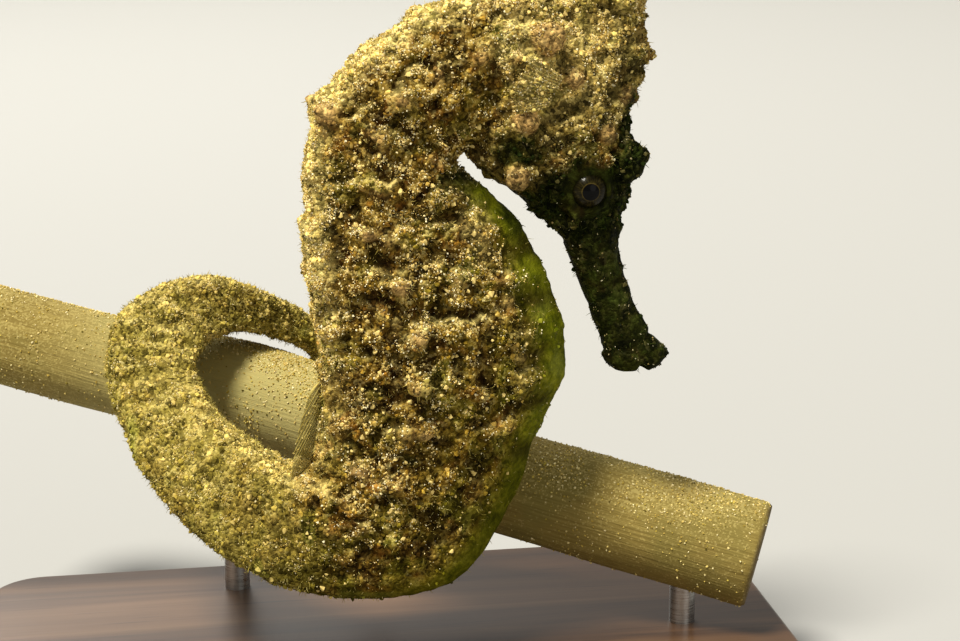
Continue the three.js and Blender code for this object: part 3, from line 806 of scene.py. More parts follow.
def sand_material(name, stops, own_share, roughness, painted_shade, gloss):
    """Grains of many tones; the lowest share of them is silt in the colour of the skin below."""
    material, nodes, shader, place = new_material(name, Roughness=roughness, Specular_IOR_Level=gloss)
    tone = attribute(nodes, "tone")
    grain = ramp(nodes, tone, stops, "CONSTANT")
    own = hide_colour(nodes, place)
    light = smooth(nodes, tone, 0.0, own_share)
    own = scaled(nodes, own, spread_out(nodes, light, 0.45, 2.2))
    colour = mixed(nodes, smooth(nodes, tone, own_share, own_share + 0.01), own, grain)
    blend = times(nodes, attribute(nodes, "tail"), 0.5)
    colour = mixed(nodes, blend, colour, own)
    # Grains in the skin's painted shade are painted dark as well.
    shade = times(nodes, attribute(nodes, "shade"), painted_shade)
    colour = mixed(nodes, shade, colour, (0.011, 0.018, 0.0025))
    feed(nodes, colour, shader, "Base Color")
    return material


def fuzz_material():
    material, nodes, shader, place = new_material("algae_fuzz", Roughness=0.8, Specular_IOR_Level=0.03)
    own = hide_colour(nodes, place)
    tone = attribute(nodes, "tone")
    tuft = ramp(
        nodes, tone, [(0, (0.18, 0.14, 0.02)), (0.5, (0.42, 0.34, 0.08)), (1, (0.66, 0.57, 0.2))]
    )
    colour = mixed(nodes, 0.55, own, tuft)
    # Threads in the skin's painted shade are painted dark as well.
    shade = times(nodes, attribute(nodes, "shade"), 0.92)
    colour = mixed(nodes, shade, colour, (0.019, 0.031, 0.005))
    feed(nodes, colour, shader, "Base Color")
    return material


def eye_material():
    material, nodes, shader, place = new_material(
        "eye", Roughness=0.3, Coat_Weight=0.1, Coat_Roughness=0.03, Specular_IOR_Level=0.05
    )
    near = placed_at(nodes, place, (EYE["x"], 0, EYE["z"]))
    parts = nodes.add("ShaderNodeSeparateXYZ", {"Vector": near}).outputs
    flat = nodes.add("ShaderNodeCombineXYZ", {"X": parts["X"], "Y": 0.0, "Z": parts["Z"]}).outputs[0]
    away = nodes.add("ShaderNodeVectorMath", {0: flat}, operation="LENGTH").outputs["Value"]
    angle = math_node(nodes, "ARCTAN2", parts["Z"], parts["X"])
    streaks = nodes.add(
        "ShaderNodeCombineXYZ", {"X": times(nodes, angle, 5.0), "Y": away, "Z": 0.0}
    ).outputs[0]
    streak = noise_tex(nodes, streaks, 1.6, 3, 0.6)
    # The iris and its gold ring are darkened below their own colours: painted shade over the eye.
    iris_in_painted_shade = ramp(
        nodes,
        streak,
        [(0.3, (0.002, 0.0017, 0.0004)), (0.5, (0.009, 0.007, 0.0013)), (0.68, (0.032, 0.025, 0.005))],
    )
    ring = smooth(nodes, away, 0.98, 1.06)
    gold = math_node(nodes, "SUBTRACT", smooth(nodes, away, 0.9, 0.98), ring, clamp=True)
    colour = mixed(nodes, smooth(nodes, away, 0.9, 0.97), (0.001, 0.001, 0.001), iris_in_painted_shade)
    colour = mixed(nodes, times(nodes, gold, 0.35), colour, (0.13, 0.09, 0.016))
    colour = mixed(nodes, smooth(nodes, away, 1.4, 2.0), colour, (0.004, 0.004, 0.001))
    feed(nodes, colour, shader, "Base Color")
    return material


def fin_material():
    material, nodes, shader, place = new_material("fin_membrane", Roughness=0.5, Specular_IOR_Level=0.1)
    ray = attribute(nodes, "ray")
    colour = hide_colour(nodes, place)
    # The rays are painted lighter than the membrane between them, a painted highlight along each ray.
    light = times(nodes, ray, 0.8)
    colour = scaled(nodes, colour, math_node(nodes, "ADD", light, 0.75))
    feed(nodes, colour, shader, "Base Color")
    clear = times(nodes, math_node(nodes, "SUBTRACT", 1.0, ray), attribute(nodes, "clear"))
    nodes.tree.links.new(math_node(nodes, "SUBTRACT", 1.0, clear), shader.inputs["Alpha"])
    return material


def stem_material():
    material, nodes, shader, place = new_material("weathered_stem", Roughness=0.8, Specular_IOR_Level=0.08)
    turn = Matrix((STEM_ALONG, -STEM_FRONT, STEM_UP)).to_euler()
    near = placed_at(nodes, place, STEM["point"], tuple(turn))
    stretched = drawn_out(nodes, near, (0.035, 1.0, 1.0))
    grain = noise_tex(nodes, stretched, 3.4, 5, 0.65)
    fine = noise_tex(nodes, stretched, 11.0, 3, 0.6)
    wide = noise_tex(nodes, near, 0.09, 3, 0.6)
    colour = ramp(
        nodes,
        grain,
        [
            (0.3, (0.17, 0.12, 0.03)),
            (0.45, (0.215, 0.157, 0.04)),
            (0.6, (0.26, 0.194, 0.053)),
            (0.75, (0.32, 0.245, 0.072)),
        ],
    )
    green = times(nodes, smooth(nodes, wide, 0.48, 0.66), 0.35)
    colour = mixed(nodes, green, colour, (0.15, 0.135, 0.035))
    crack = smooth(nodes, fine, 0.33, 0.27)
    colour = mixed(nodes, times(nodes, crack, 0.25), colour, (0.09, 0.06, 0.02))
    parts = nodes.add("ShaderNodeSeparateXYZ", {"Vector": near}).outputs
    # Inside the tail's loop the stem is painted paler: painted light against the shadow the tail casts
    # there.
    loop_painted_light = times(nodes, smooth(nodes, parts["X"], 2.0, -12.0), 0.62)
    loop_painted_light = times(nodes, loop_painted_light, smooth(nodes, parts["X"], -50.0, -28.0))
    colour = mixed(nodes, loop_painted_light, colour, (0.56, 0.5, 0.2))
    grains = grit(nodes, place, 5200.0)
    dusted = math_node(nodes, "ADD", attribute(nodes, "dust"), times(nodes, grain, 0.4))
    dusted = smooth(nodes, math_node(nodes, "ADD", dusted, grains["Tone"]), 1.05, 1.2)
    colour = mixed(nodes, times(nodes, dusted, 0.45), colour, (0.46, 0.37, 0.13))
    flat = nodes.add("ShaderNodeCombineXYZ", {"X": 0.0, "Y": parts["Y"], "Z": parts["Z"]}).outputs[0]
    away = nodes.add("ShaderNodeVectorMath", {0: flat}, operation="LENGTH").outputs["Value"]
    uneven = noise_tex(nodes, near, 0.35, 3, 0.6)
    wobble = math_node(nodes, "ADD", away, times(nodes, uneven, 3.0))
    rings = math_node(nodes, "SINE", times(nodes, wobble, 6.5))
    cut = ramp(nodes, smooth(nodes, rings, -0.8, 0.9), [(0, (0.14, 0.1, 0.045)), (1, (0.2, 0.155, 0.075))])
    colour = mixed(nodes, attribute(nodes, "cut_end"), colour, cut)
    feed(nodes, colour, shader, "Base Color")
    bump(nodes, shader, grain, 0.6, 0.0003)
    return material


def walnut_material():
    material, nodes, shader, place = new_material(
        "walnut", Roughness=0.38, Coat_Weight=0.35, Coat_Roughness=0.2
    )
    stretched = drawn_out(nodes, place, (9.0, 120.0, 120.0))
    wave = noise_tex(nodes, stretched, 1.0, 4, 0.6, 0.8)
    fibres = drawn_out(nodes, place, (60, 1500, 1500))
    pores = noise_tex(nodes, fibres, 1.0, 2)
    colour = ramp(
        nodes,
        wave,
        [
            (0.3, (0.022, 0.01, 0.004)),
            (0.47, (0.06, 0.028, 0.012)),
            (0.6, (0.1, 0.05, 0.022)),
            (0.75, (0.15, 0.08, 0.04)),
        ],
    )
    dark = times(nodes, smooth(nodes, pores, 0.6, 0.7), 0.55)
    colour = mixed(nodes, dark, colour, (0.018, 0.008, 0.004))
    feed(nodes, colour, shader, "Base Color")
    bump(nodes, shader, pores, 0.12, 0.0001)
    return material


def steel_material():
    material, nodes, shader, place = new_material("brushed_steel", Metallic=1.0, Roughness=0.32)
    stretched = drawn_out(nodes, place, (300, 300, 9000))
    brush = noise_tex(nodes, stretched, 1.0, 2)
    colour = ramp(nodes, brush, [(0.3, (0.42, 0.42, 0.41)), (0.7, (0.62, 0.62, 0.6))])
    feed(nodes, colour, shader, "Base Color")
    rough = ramp(nodes, brush, [(0.3, (0.24,) * 3), (0.7, (0.4,) * 3)])
    feed(nodes, rough, shader, "Roughness")
    return material


def floor_material():
    material, nodes, shader, place = new_material("pale_floor", Roughness=0.9)
    shader.inputs["Base Color"].default_value = (0.37, 0.37, 0.36, 1)
    return material


# ---------------------------------------------------------------- the skin


def joined(pieces):
    points, faces, start = [], [], 0
    for some, quads in pieces:
        points.append(some)
        faces += [[v + start for v in quad] for quad in quads]
        start += len(some)
    return np.concatenate(points), faces


def stored_marks(mesh, grid, known):
    """Gives each vertex of the skin the marks of the nearest point of the plain body."""
    co = in_animal(positions(mesh))
    nearest = nearest_to(grid, co)
    return co, {key: np.asarray(values).reshape(-1)[nearest] for key, values in known.items()}


def shape_mouth(mesh, co, snout):
    """Cuts the creases behind the lips, the gape between them and the notch below."""
    snout_axis = unit(np.array([-4.2, 0, 10.5]))  # from the lips up the snout
    up_snout = (co - [26.9, 0, 38.4]) @ snout_axis
    lip = np.exp(-(((up_snout - 3.5 - 0.05 * (co[:, 0] - 26) ** 2) / 0.3) ** 2))
    lip += 0.7 * np.exp(-(((up_snout - 2.0) / 0.25) ** 2)) * smooth_step(26.2, 27.2, co[:, 0])
    lip += 0.5 * np.exp(-(((up_snout - 1.1) / 0.2) ** 2)) * smooth_step(26.8, 27.6, co[:, 0])
    lip *= snout
    move_vertices(mesh, positions(mesh) - vertex_normals(mesh) * (0.28 * lip * MM)[:, None])
    mouth = np.array([26.6, 0, 38.6])
    from_mouth = np.linalg.norm((co - mouth) / [1.35, 0.75, 1.0], axis=1)
    gape = (1 - smooth_step(0.2, 1.15, from_mouth)) * 1.1
    placed = positions(mesh) + snout_axis * (gape * MM)[:, None]
    notch = np.exp(-(((co[:, 0] - 27.0) / 0.5) ** 2)) * (1 - smooth_step(38.6, 40.4, co[:, 2]))
    placed += snout_axis * (notch * 0.6 * MM)[:, None]
    move_vertices(mesh, placed)


def skin(material):
    points, known = body_points(even_stations(SECTION_STEP))
    pieces = [closed_tube(points)] + head_parts()
    rough = make_object("skin_rough", *joined(pieces), turn_outwards=False)
    remesh = rough.modifiers.new("remesh", "REMESH")
    remesh.mode = "VOXEL"
    remesh.voxel_size = VOXEL * MM
    soften = rough.modifiers.new("soften", "SMOOTH")
    soften.factor = 0.5
    soften.iterations = 2
    obj = applied(rough, "skin")
    mesh = obj.data
    shade_smooth(obj)
    co, marks = stored_marks(mesh, points.reshape(-1, 3), known)
    normals = vertex_normals(mesh)
    ring, corner = marks["ring"], marks["corner"]
    keel, pouch = marks["keel"], marks["pouch"]

    snout = 1 - smooth_step(-5.3, -4.4, ring)
    head = 1 - smooth_step(-0.6, 0.2, ring)
    tail = smooth_step(12.6, 15.5, ring)
    eye = np.array([EYE["x"], EYE["y"] + 1.2, EYE["z"]])
    beside = np.stack([co[:, 0], np.abs(co[:, 1]), co[:, 2]], axis=1)
    from_eye = np.linalg.norm(beside - eye, axis=1)
    off_eye = smooth_step(2.7, 4.4, from_eye)
    calm = np.clip(1 - 0.85 * keel - 0.4 * pouch - 0.75 * snout - 0.4 * tail, 0.06, 1) * (
        0.15 + 0.85 * off_eye
    )

    knob = np.zeros(len(co))
    for at, radius in KNOBS:
        away = np.linalg.norm(beside - at, axis=1)
        knob = np.maximum(knob, 1 - smooth_step(radius, radius + 0.7, away))
    lump = np.maximum(marks["lump"] * (1 - 0.3 * tail), knob)
    swelling = np.zeros(len(co))
    uneven = 1 + 0.35 * noise_at(co, 1.6, 21.0)
    for x, z, radius in SWELLINGS:
        away = np.hypot(co[:, 0] - x, 1.3 * (co[:, 2] - z)) / radius * uneven
        swelling = np.maximum(swelling, (1 - smooth_step(0.35, 1.25, away)) * (np.abs(co[:, 1]) > 3))
    lump = np.maximum(lump * (1 - 0.4 * (ring > 4.5)), swelling)
    pits = smooth_step(0.1, 0.3, noise_at(co, 2.1, 5.2)) * calm * (1 - 0.6 * tail) * (1 - 0.85 * lump)
    broken = smooth_step(-0.3, 0.2, noise_at(co, 4.2, 2.2))
    hollow = marks["hollow"] * (0.25 + 0.75 * broken)
    tufts = warts_at(co, 1.8)
    lift = calm * (0.5 * (tufts - 0.4) + 0.28 * noise_at(co, 0.9, 3.1))
    lift = lift * (1 - 0.6 * lump) * (1 - 0.6 * tail)
    lift += 0.3 * noise_at(co, 3.3, 7.7) * calm - 0.55 * pits + 0.35 * swelling
    gill = np.array([20.5, 0, 63.5])
    fan = np.arctan2(co[:, 2] - gill[2], gill[0] - co[:, 0])
    reach = np.hypot(co[:, 2] - gill[2], co[:, 0] - gill[0])
    cover = smooth_step(1.5, 3.0, reach) * (1 - smooth_step(6.5, 9.5, reach))
    cover *= smooth_step(2.0, 3.2, np.abs(co[:, 1])) * head * smooth_step(-0.4, 0.1, fan)
    lift += 0.12 * cover * np.sin(fan * 26)
    lift += keel * 0.035 * np.sin(ring * 2 * math.pi * 4)
    round_eye = np.arctan2(co[:, 2] - eye[2], co[:, 0] - eye[0])
    lid = smooth_step(2.45, 2.9, from_eye) * (1 - smooth_step(3.4, 4.4, from_eye))
    folds = np.sin(round_eye * 13 + 1.3 * np.sin(round_eye * 2))
    lift += 0.14 * lid * folds
    move_vertices(mesh, positions(mesh) + normals * (lift * MM)[:, None])

    shape_mouth(mesh, co, snout)
    patches = noise_at(co, 5.5, 1.3)
    clumps = np.clip(0.75 + 2.3 * noise_at(co, 1.15, 8.4), 0.04, 2.2)
    # Painted shade: the face is dark below a line from the jaw's corner to the brow and up the forehead,
    # and so are the snout and the places beside the throat.
    brow = np.interp(co[:, 0], [11, 14.5, 17.3, 22.2, 23.9, 25.3], [59.3, 61.4, 63.2, 64.4, 66.4, 70])
    mottle = 2.4 * patches + 1.8 * noise_at(co, 1.7, 6.6)
    below = brow - co[:, 2] + mottle
    under_face = np.maximum(smooth_step(-2.2, 2.4, below), 0.5 * smooth_step(-8.5, -1.5, below)) * head
    shade = np.clip(np.maximum(snout, under_face), 0, 1)
    for at, radii, strength in DUSKY:
        away = np.linalg.norm((beside - at) / radii, axis=1) + 0.25 * noise_at(co, 1.9, 18.0)
        shade = np.maximum(shade, strength * (1 - smooth_step(0.45, 1.15, away)) * (1 - lump))
    from_throat = np.linalg.norm((co - THROAT) * [1, 0.4, 1], axis=1)
    throat = 1 - smooth_step(1.2, 3.2, from_throat)
    lit = np.clip(vertex_normals(mesh)[:, 2], 0, 1)
    back_strip = np.where(ring > 0, 1 - smooth_step(0.5, 1.5, corner), 0)
    top = smooth_step(0.35, 0.85, lit)
    # Grains lie thicker on upward faces and along the back strip, where the pale ones add to the back's
    # painted highlight.
    cover = 0.55 + 0.6 * lit + 0.6 * top + 1.2 * back_strip + 0.6 * patches - 0.5 * lump * (1 - top)
    front = smooth_step(2.8, 5.0, corner) * smooth_step(5.5, 9, ring) * (1 - smooth_step(13.5, 15.5, ring))
    fin_foot = (1 - smooth_step(0.9, 2.0, corner)) * smooth_step(8.4, 9.2, ring)
    fin_foot *= 1 - smooth_step(11.2, 12.0, ring)
    bald = smooth_step(0.4, 0.85, lump) * (1 - 0.6 * top)
    chest = smooth_step(4.2, 5.2, ring) * (1 - smooth_step(7.4, 8.6, ring))
    # Few grains lie in the painted shade, so that it stays dark.
    cover = np.clip(cover, 0.15, 2.6) * (1 - 0.97 * keel) * (1 - 0.75 * pouch) * (1 - 0.93 * shade)
    cover *= (1 - 0.45 * front) * (1 - 0.3 * tail) * (1 - 0.8 * bald) * (1 - 0.75 * fin_foot)
    cover *= 1 + 0.3 * chest
    crusted = np.zeros(len(co))
    for (x, z), radii, strength in CRUSTED:
        away = np.hypot((co[:, 0] - x) / radii[0], (co[:, 2] - z) / radii[1])
        away += 0.3 * noise_at(co, 1.6, 21.0)
        crusted = np.maximum(crusted, strength * (1 - smooth_step(0.5, 1.1, away)))
    cover *= 1 + 0.5 * crusted
    cover *= smooth_step(2.9, 3.5, from_eye) * (1 - 0.8 * pits) * (1 - throat)
    cover *= 0.35 + 1.2 * smooth_step(0.1, 0.6, tufts)
    gaps = (1 - smooth_step(0.05, 0.35, tufts)) * calm * (1 - 0.7 * tail) * (1 - lump) * (1 - 0.5 * head)
    # Pale is painted highlight along the back, on upward faces and over the head, plus the pale of the
    # thickest crust; there is none in the painted shade.
    pale = 0.85 * back_strip * smooth_step(-0.4, 0.8, ring) * (1 - 0.8 * smooth_step(6.2, 8.4, ring))
    pale = np.clip(pale + 0.5 * top * (1 - 0.4 * tail) + 0.22 * head + 0.4 * crusted, 0, 1)
    pale *= (1 - shade) * (0.75 + 0.5 * smooth_step(-0.2, 0.3, patches)) * (1 - keel) * (1 - lump)
    fuzz = 0.35 + 0.65 * tail - 0.2 * snout + 0.5 * back_strip + 0.5 * noise_at(co, 4, 9.0)
    fuzz = np.clip(fuzz, 0, 1.5)
    fuzz *= smooth_step(2.9, 3.6, from_eye) * (1 - 0.7 * keel) * (1 - throat)
    green_spots = [((10.7, -4.6, 77.6), 1.5), ((12.2, 4.6, 79.2), 1.1)]
    alga = smooth_step(0.42, 0.55, noise_at(co, 3.6, 12.6)) * (1 - shade) * 0.5
    for at, radius in green_spots:
        alga = np.maximum(alga, 1 - smooth_step(radius * 0.5, radius, np.linalg.norm(co - at, axis=1)))
    told = {
        "lump": lump,
        # hollow: painted shade in the grooves, pits and gaps between tufts, less along the back strip, and
        # the pouch darkened too
        "hollow": np.clip(
            np.maximum(np.maximum(hollow * (1 - 0.7 * tail), pits * (1 - 0.2 * head)), 0.5 * gaps)
            + 0.5 * pouch - 0.8 * back_strip, 0, 1,
        ),
        "keel": np.maximum(
            keel * (1 - 0.6 * smooth_step(11.5, 13.5, ring)),
            0.45 * front * smooth_step(-0.35, 0.2, noise_at(co, 2.6, 15.5)),
        ),
        "alga": alga,
        "tail": tail,
        "pale": np.clip(pale, 0, 1),
        "shade": shade,
        "gritty": np.clip(1 - 0.8 * keel - 0.55 * snout, 0, 1) * smooth_step(2.5, 3.4, from_eye),
        "dust": np.clip(cover / 2.0, 0, 1),
        "cover": cover * clumps,
        "coarse": cover * clumps * (1 - 0.8 * front) * (1 - 0.4 * tail),
        "crumbs": np.clip(0.3 + 0.7 * cover, 0, 1.2) * (0.4 + 0.6 * clumps) * off_eye
        * (1 - 0.93 * snout) * (1 - 0.95 * keel) * (1 - throat) * (1 - 0.85 * lump) * (1 - 0.8 * fin_foot),
        "fuzz": fuzz,
        "unwrap_u": marks["around"],
        "unwrap_v": marks["along"],
    }
    for name, values in told.items():
        store(mesh, name, values)
    mesh.materials.append(material)
    return obj


# ---------------------------------------------------------------- sand and fuzz over a surface


def scatter_tree(name, grain):
    """Spreads one small shape over a surface by a stored mark, each copy turned and sized."""
    tree, nodes, given, out = new_group(
        name,
        "GeometryNodeTree",
        [
            ("Geometry", "in", "NodeSocketGeometry"),
            ("Density", "in", "NodeSocketFloat", 1.0),
            ("Seed", "in", "NodeSocketInt", 1),
            ("Smallest", "in", "NodeSocketFloat", 0.0001),
            ("Largest", "in", "NodeSocketFloat", 0.0002),
            ("Lift", "in", "NodeSocketFloat", 0.3),
            ("Mark", "in", "NodeSocketString", "cover"),
            ("Material", "in", "NodeSocketMaterial"),
            ("Geometry", "out", "NodeSocketGeometry"),
        ],
    )
    seed = given["Seed"]

    def chance(low, high, step, kind="FLOAT"):
        more = nodes.add("FunctionNodeInputInt", integer=step).outputs[0]
        own_seed = math_node(nodes, "ADD", seed, more)
        node = nodes.add("FunctionNodeRandomValue", data_type=kind)
        live = [s for s in node.inputs if s.enabled]
        for socket, value in zip(live[:2], (low, high)):
            if isinstance(value, bpy.types.NodeSocket):
                tree.links.new(value, socket)
            else:
                socket.default_value = value
        tree.links.new(own_seed, node.inputs["Seed"])
        return [s for s in node.outputs if s.enabled][0]

    mark = nodes.add("GeometryNodeInputNamedAttribute", {"Name": given["Mark"]}, data_type="FLOAT")
    thick = times(nodes, mark.outputs[0], given["Density"])
    spread = nodes.add(
        "GeometryNodeDistributePointsOnFaces",
        {"Mesh": given["Geometry"], "Density": thick, "Seed": seed},
        distribute_method="RANDOM",
    )
    size = chance(given["Smallest"], given["Largest"], 3)
    toned = keep(nodes, spread.outputs["Points"], "tone", chance(0.0, 1.0, 5))
    sized = keep(nodes, toned, "size", size)
    again = nodes.add("GeometryNodeInputNamedAttribute", {"Name": "size"}, data_type="FLOAT")
    size_again = again.outputs[0]
    raise_by = times(nodes, size_again, given["Lift"])
    up = scaled(nodes, spread.outputs["Normal"], raise_by)
    lifted = nodes.add("GeometryNodeSetPosition", {"Geometry": sized, "Offset": up}).outputs[0]
    shape, turned, stretch = grain(nodes, spread, chance)
    scale = scaled(nodes, stretch, size_again)
    placed = nodes.add(
        "GeometryNodeInstanceOnPoints",
        {"Points": lifted, "Instance": shape, "Rotation": turned, "Scale": scale},
    ).outputs[0]
    real = nodes.add("GeometryNodeRealizeInstances", {"Geometry": placed}).outputs[0]
    done = nodes.add("GeometryNodeSetMaterial", {"Geometry": real, "Material": given["Material"]})
    tree.links.new(done.outputs[0], out["Geometry"])
    return tree


def keep(nodes, geometry, name, value, kind="FLOAT"):
    values = {"Geometry": geometry, "Name": name, "Value": value}
    return nodes.add("GeometryNodeStoreNamedAttribute", values, data_type=kind, domain="POINT").outputs[0]


def kept_corner(nodes, shape):
    """Keeps each vertex's place on the small shape, for its patch of the bake's map."""
    here = nodes.add("GeometryNodeInputPosition").outputs[0]
    return keep(nodes, shape, "corner", here, "FLOAT_VECTOR")


def broken_ball(nodes, shape, uneven):
    """The shape made angular, like a grain of quartz."""
    here = nodes.add("GeometryNodeInputPosition").outputs[0]
    wobble = nodes.add("ShaderNodeTexNoise", {"Vector": here, "Scale": 1.4, "Detail": 0.0}).outputs["Color"]
    shift = nodes.add("ShaderNodeVectorMath", {0: wobble, 1: (0.5,) * 3}, operation="SUBTRACT").outputs[0]
    shift = scaled(nodes, shift, uneven)
    return nodes.add("GeometryNodeSetPosition", {"Geometry": shape, "Offset": shift}).outputs[0]


def random_turn(nodes, chance):
    turn = chance((0.0, 0.0, 0.0), (6.28, 6.28, 6.28), 11, "FLOAT_VECTOR")
    return nodes.add("FunctionNodeEulerToRotation", {"Euler": turn}).outputs[0]


def coarse_grain(nodes, spread, chance):
    ico = nodes.add("GeometryNodeMeshIcoSphere", {"Radius": 1.0, "Subdivisions": 1}).outputs["Mesh"]
    stretch = chance((0.75, 0.55, 0.65), (1.25, 1.0, 1.1), 13, "FLOAT_VECTOR")
    return kept_corner(nodes, broken_ball(nodes, ico, 1.3)), random_turn(nodes, chance), stretch


def fine_grain(nodes, spread, chance):
    octahedron = nodes.add(
        "GeometryNodeMeshUVSphere", {"Segments": 4, "Rings": 2, "Radius": 1.0}
    ).outputs["Mesh"]
    stretch = chance((0.8, 0.6, 0.7), (1.3, 1.0, 1.2), 13, "FLOAT_VECTOR")
    return kept_corner(nodes, broken_ball(nodes, octahedron, 0.9)), random_turn(nodes, chance), stretch


def thread(nodes, spread, chance):
    """A thin tuft that leans over from the surface and bends towards its tip."""
    cone = nodes.add(
        "GeometryNodeMeshCone",
        {"Vertices": 3, "Side Segments": 2, "Radius Top": 0.03, "Radius Bottom": 0.12, "Depth": 1.0},
        fill_type="NONE",
    ).outputs["Mesh"]
    here = nodes.add("GeometryNodeInputPosition").outputs[0]
    height = nodes.add("ShaderNodeSeparateXYZ", {"Vector": here}).outputs["Z"]
    bend = times(nodes, height, height)
    aside = nodes.add("ShaderNodeCombineXYZ", {"X": bend, "Y": 0.0, "Z": 0.0}).outputs[0]
    aside = scaled(nodes, aside, 0.45)
    bent = nodes.add("GeometryNodeSetPosition", {"Geometry": cone, "Offset": aside}).outputs[0]
    lean = chance((-0.6, -0.6, 0.0), (0.6, 0.6, 6.28), 11, "FLOAT_VECTOR")
    own = nodes.add("FunctionNodeEulerToRotation", {"Euler": lean}).outputs[0]
    turned = nodes.add(
        "FunctionNodeRotateRotation",
        {"Rotation": spread.outputs["Rotation"], "Rotate By": own},
        rotation_space="LOCAL",
    ).outputs[0]
    stretch = chance((0.7, 0.7, 0.6), (1.2, 1.2, 1.6), 13, "FLOAT_VECTOR")
    return kept_corner(nodes, bent), turned, stretch


PATCH = 0.0015  # half of a tuft's patch on the bake's map
CORNER_REACH = 1.3  # how far a small shape's vertices may lie from its middle
SPREAD_MARKS = ("unwrap_u", "unwrap_v", "cover", "coarse", "crumbs", "fuzz")


def scattered(name, surface, tree, material, **values):
    """Spreads grains over a surface and returns them as one plain mesh with a map for the bake."""
    host = in_scene(bpy.data.objects.new(name + "_host", surface.data.copy()))
    modifier = host.modifiers.new("scatter", "NODES")
    modifier.node_group = tree
    sockets = {s.name: s.identifier for s in tree.interface.items_tree if s.in_out == "INPUT"}
    for key, value in {**values, "Material": material}.items():
        modifier[sockets[key.replace("_", " ")]] = value
    obj = applied(host, name)
    mesh = obj.data
    u, v = stored(mesh, "unwrap_u"), stored(mesh, "unwrap_v")
    corner = np.empty(len(mesh.vertices) * 3)
    mesh.attributes["corner"].data.foreach_get("vector", corner)
    corner = np.clip(corner.reshape(-1, 3) / CORNER_REACH, -1, 1)
    at = np.stack([u + corner[:, 0] * PATCH, v + (corner[:, 1] + 0.3 * corner[:, 2]) * PATCH], axis=1)
    loops = np.empty(len(mesh.loops), int)
    mesh.loops.foreach_get("vertex_index", loops)
    for old in list(mesh.uv_layers):
        mesh.uv_layers.remove(old)
    layer = mesh.uv_layers.new(name="OFBake")
    layer.data.foreach_set("uv", np.clip(at, 0, 1)[loops].ravel())
    for spare in (*SPREAD_MARKS, "corner", "size", "dust", "gritty", "ray", "clear"):
        if mesh.attributes.get(spare):
            mesh.attributes.remove(mesh.attributes[spare])
    return obj


# ---------------------------------------------------------------- eyes and fins


def eyeball(name, side, material):
    """A ball with a slight bulge where the clear front is."""
    points, faces = ball((0, 0, 0), [1] * 3, rings=40, around=64)
    points = points[:, [0, 2, 1]]
    bulge = np.exp(-((np.hypot(points[:, 0], points[:, 2]) / 0.5) ** 2)) * (points[:, 1] > 0)
    points = points * (EYE["radius"] + 0.12 * bulge)[:, None] * [1, side, 1]
    obj = make_object(name, points + [EYE["x"], side * EYE["y"], EYE["z"]], faces, material)
    shade_smooth(obj)
    return obj


def fin_mesh(name, roots, edges, across, rays, thick, material, ragged, marks):
    """A fin between a root line and an edge line, with a raised ray at even steps."""
    roots, edges = np.asarray(roots), np.asarray(edges)
    across = np.broadcast_to(np.asarray(across, float), roots.shape)
    n = len(roots)
    u = np.linspace(0, 1, n)
    ray = np.clip(np.cos(2 * math.pi * rays * u), 0, 1) ** 3
    outs = np.linspace(0, 1, 14)
    tips = edges + (edges - roots) * (ragged * (ray - 0.5))[:, None]
    sheets = []
    for sign in (1, -1):
        rows = []
        for w in outs:
            middle = roots + (tips - roots) * w
            wave = 0.12 * math.sin(w * 2.2) * np.sin(u * 11)
            body = thick * (0.35 + 0.65 * ray) * (1 - 0.72 * w) + 0.03
            rows.append(middle + across * (sign * body / 2 + wave)[:, None])
        sheets.append(np.array(rows))
    front, back = sheets
    rim = np.concatenate([front, back[::-1]], axis=0)
    loops = rim.transpose(1, 0, 2)
    points, faces = closed_tube(loops)
    obj = make_object(name, points, faces, material)
    per_loop = np.repeat(ray, rim.shape[0])
    stood = np.concatenate([per_loop, ray[:1], ray[-1:]])
    store(obj.data, "ray", stood)
    for mark in (*[m.lower() for m in MARKS], "cover", "coarse", "crumbs", "fuzz", "clear"):
        store(obj.data, mark, np.full(len(points), marks.get(mark, 0.0)))
    # The membrane between rays is painted in shade through the hollow mark.
    store(obj.data, "hollow", (1 - stood) * marks.get("hollow", 0.0))
    shade_smooth(obj)
    return obj


def unwrapped_like(obj, skin_obj):
    """Gives a fin the place on the skin's unwrap of the skin beside it."""
    nearest = nearest_to(positions(skin_obj.data), positions(obj.data))
    for name in ("unwrap_u", "unwrap_v"):
        store(obj.data, name, stored(skin_obj.data, name)[nearest])


def one_surface(pieces):
    """A joined copy of several pieces, for what is spread over all of them."""
    copies = [in_scene(bpy.data.objects.new("surface", piece.data.copy())) for piece in pieces]
    with bpy.context.temp_override(
        active_object=copies[0], object=copies[0], selected_objects=copies, selected_editable_objects=copies
    ):
        bpy.ops.object.join()
    return copies[0]


def midline_fin(name, first, last, height, sweep, lean, thick, line, rays, clear, material, marks):
    """A fin on the back or belly line, its rays leaning towards the tail."""
    u = np.linspace(0, 1, rays * 8 + 1)
    back, belly, side, *_ = body_frame(station_of(first + (last - first) * u))
    out = unit(back - belly) * (1 if line == "back" else -1)
    tailwards = unit(np.cross(back - belly, side))
    root = (back if line == "back" else belly) + out * clear
    rise = height * (0.15 + 0.85 * np.sin(math.pi * u**0.8) ** 0.6)
    edge = root + out * rise[:, None] + tailwards * (rise * sweep)[:, None]
    edge = edge - np.array([0, lean, 0]) * rise[:, None]
    return fin_mesh(name, root - out * 0.5, edge, (0, 1, 0), rays, thick, material, 0.06, marks)


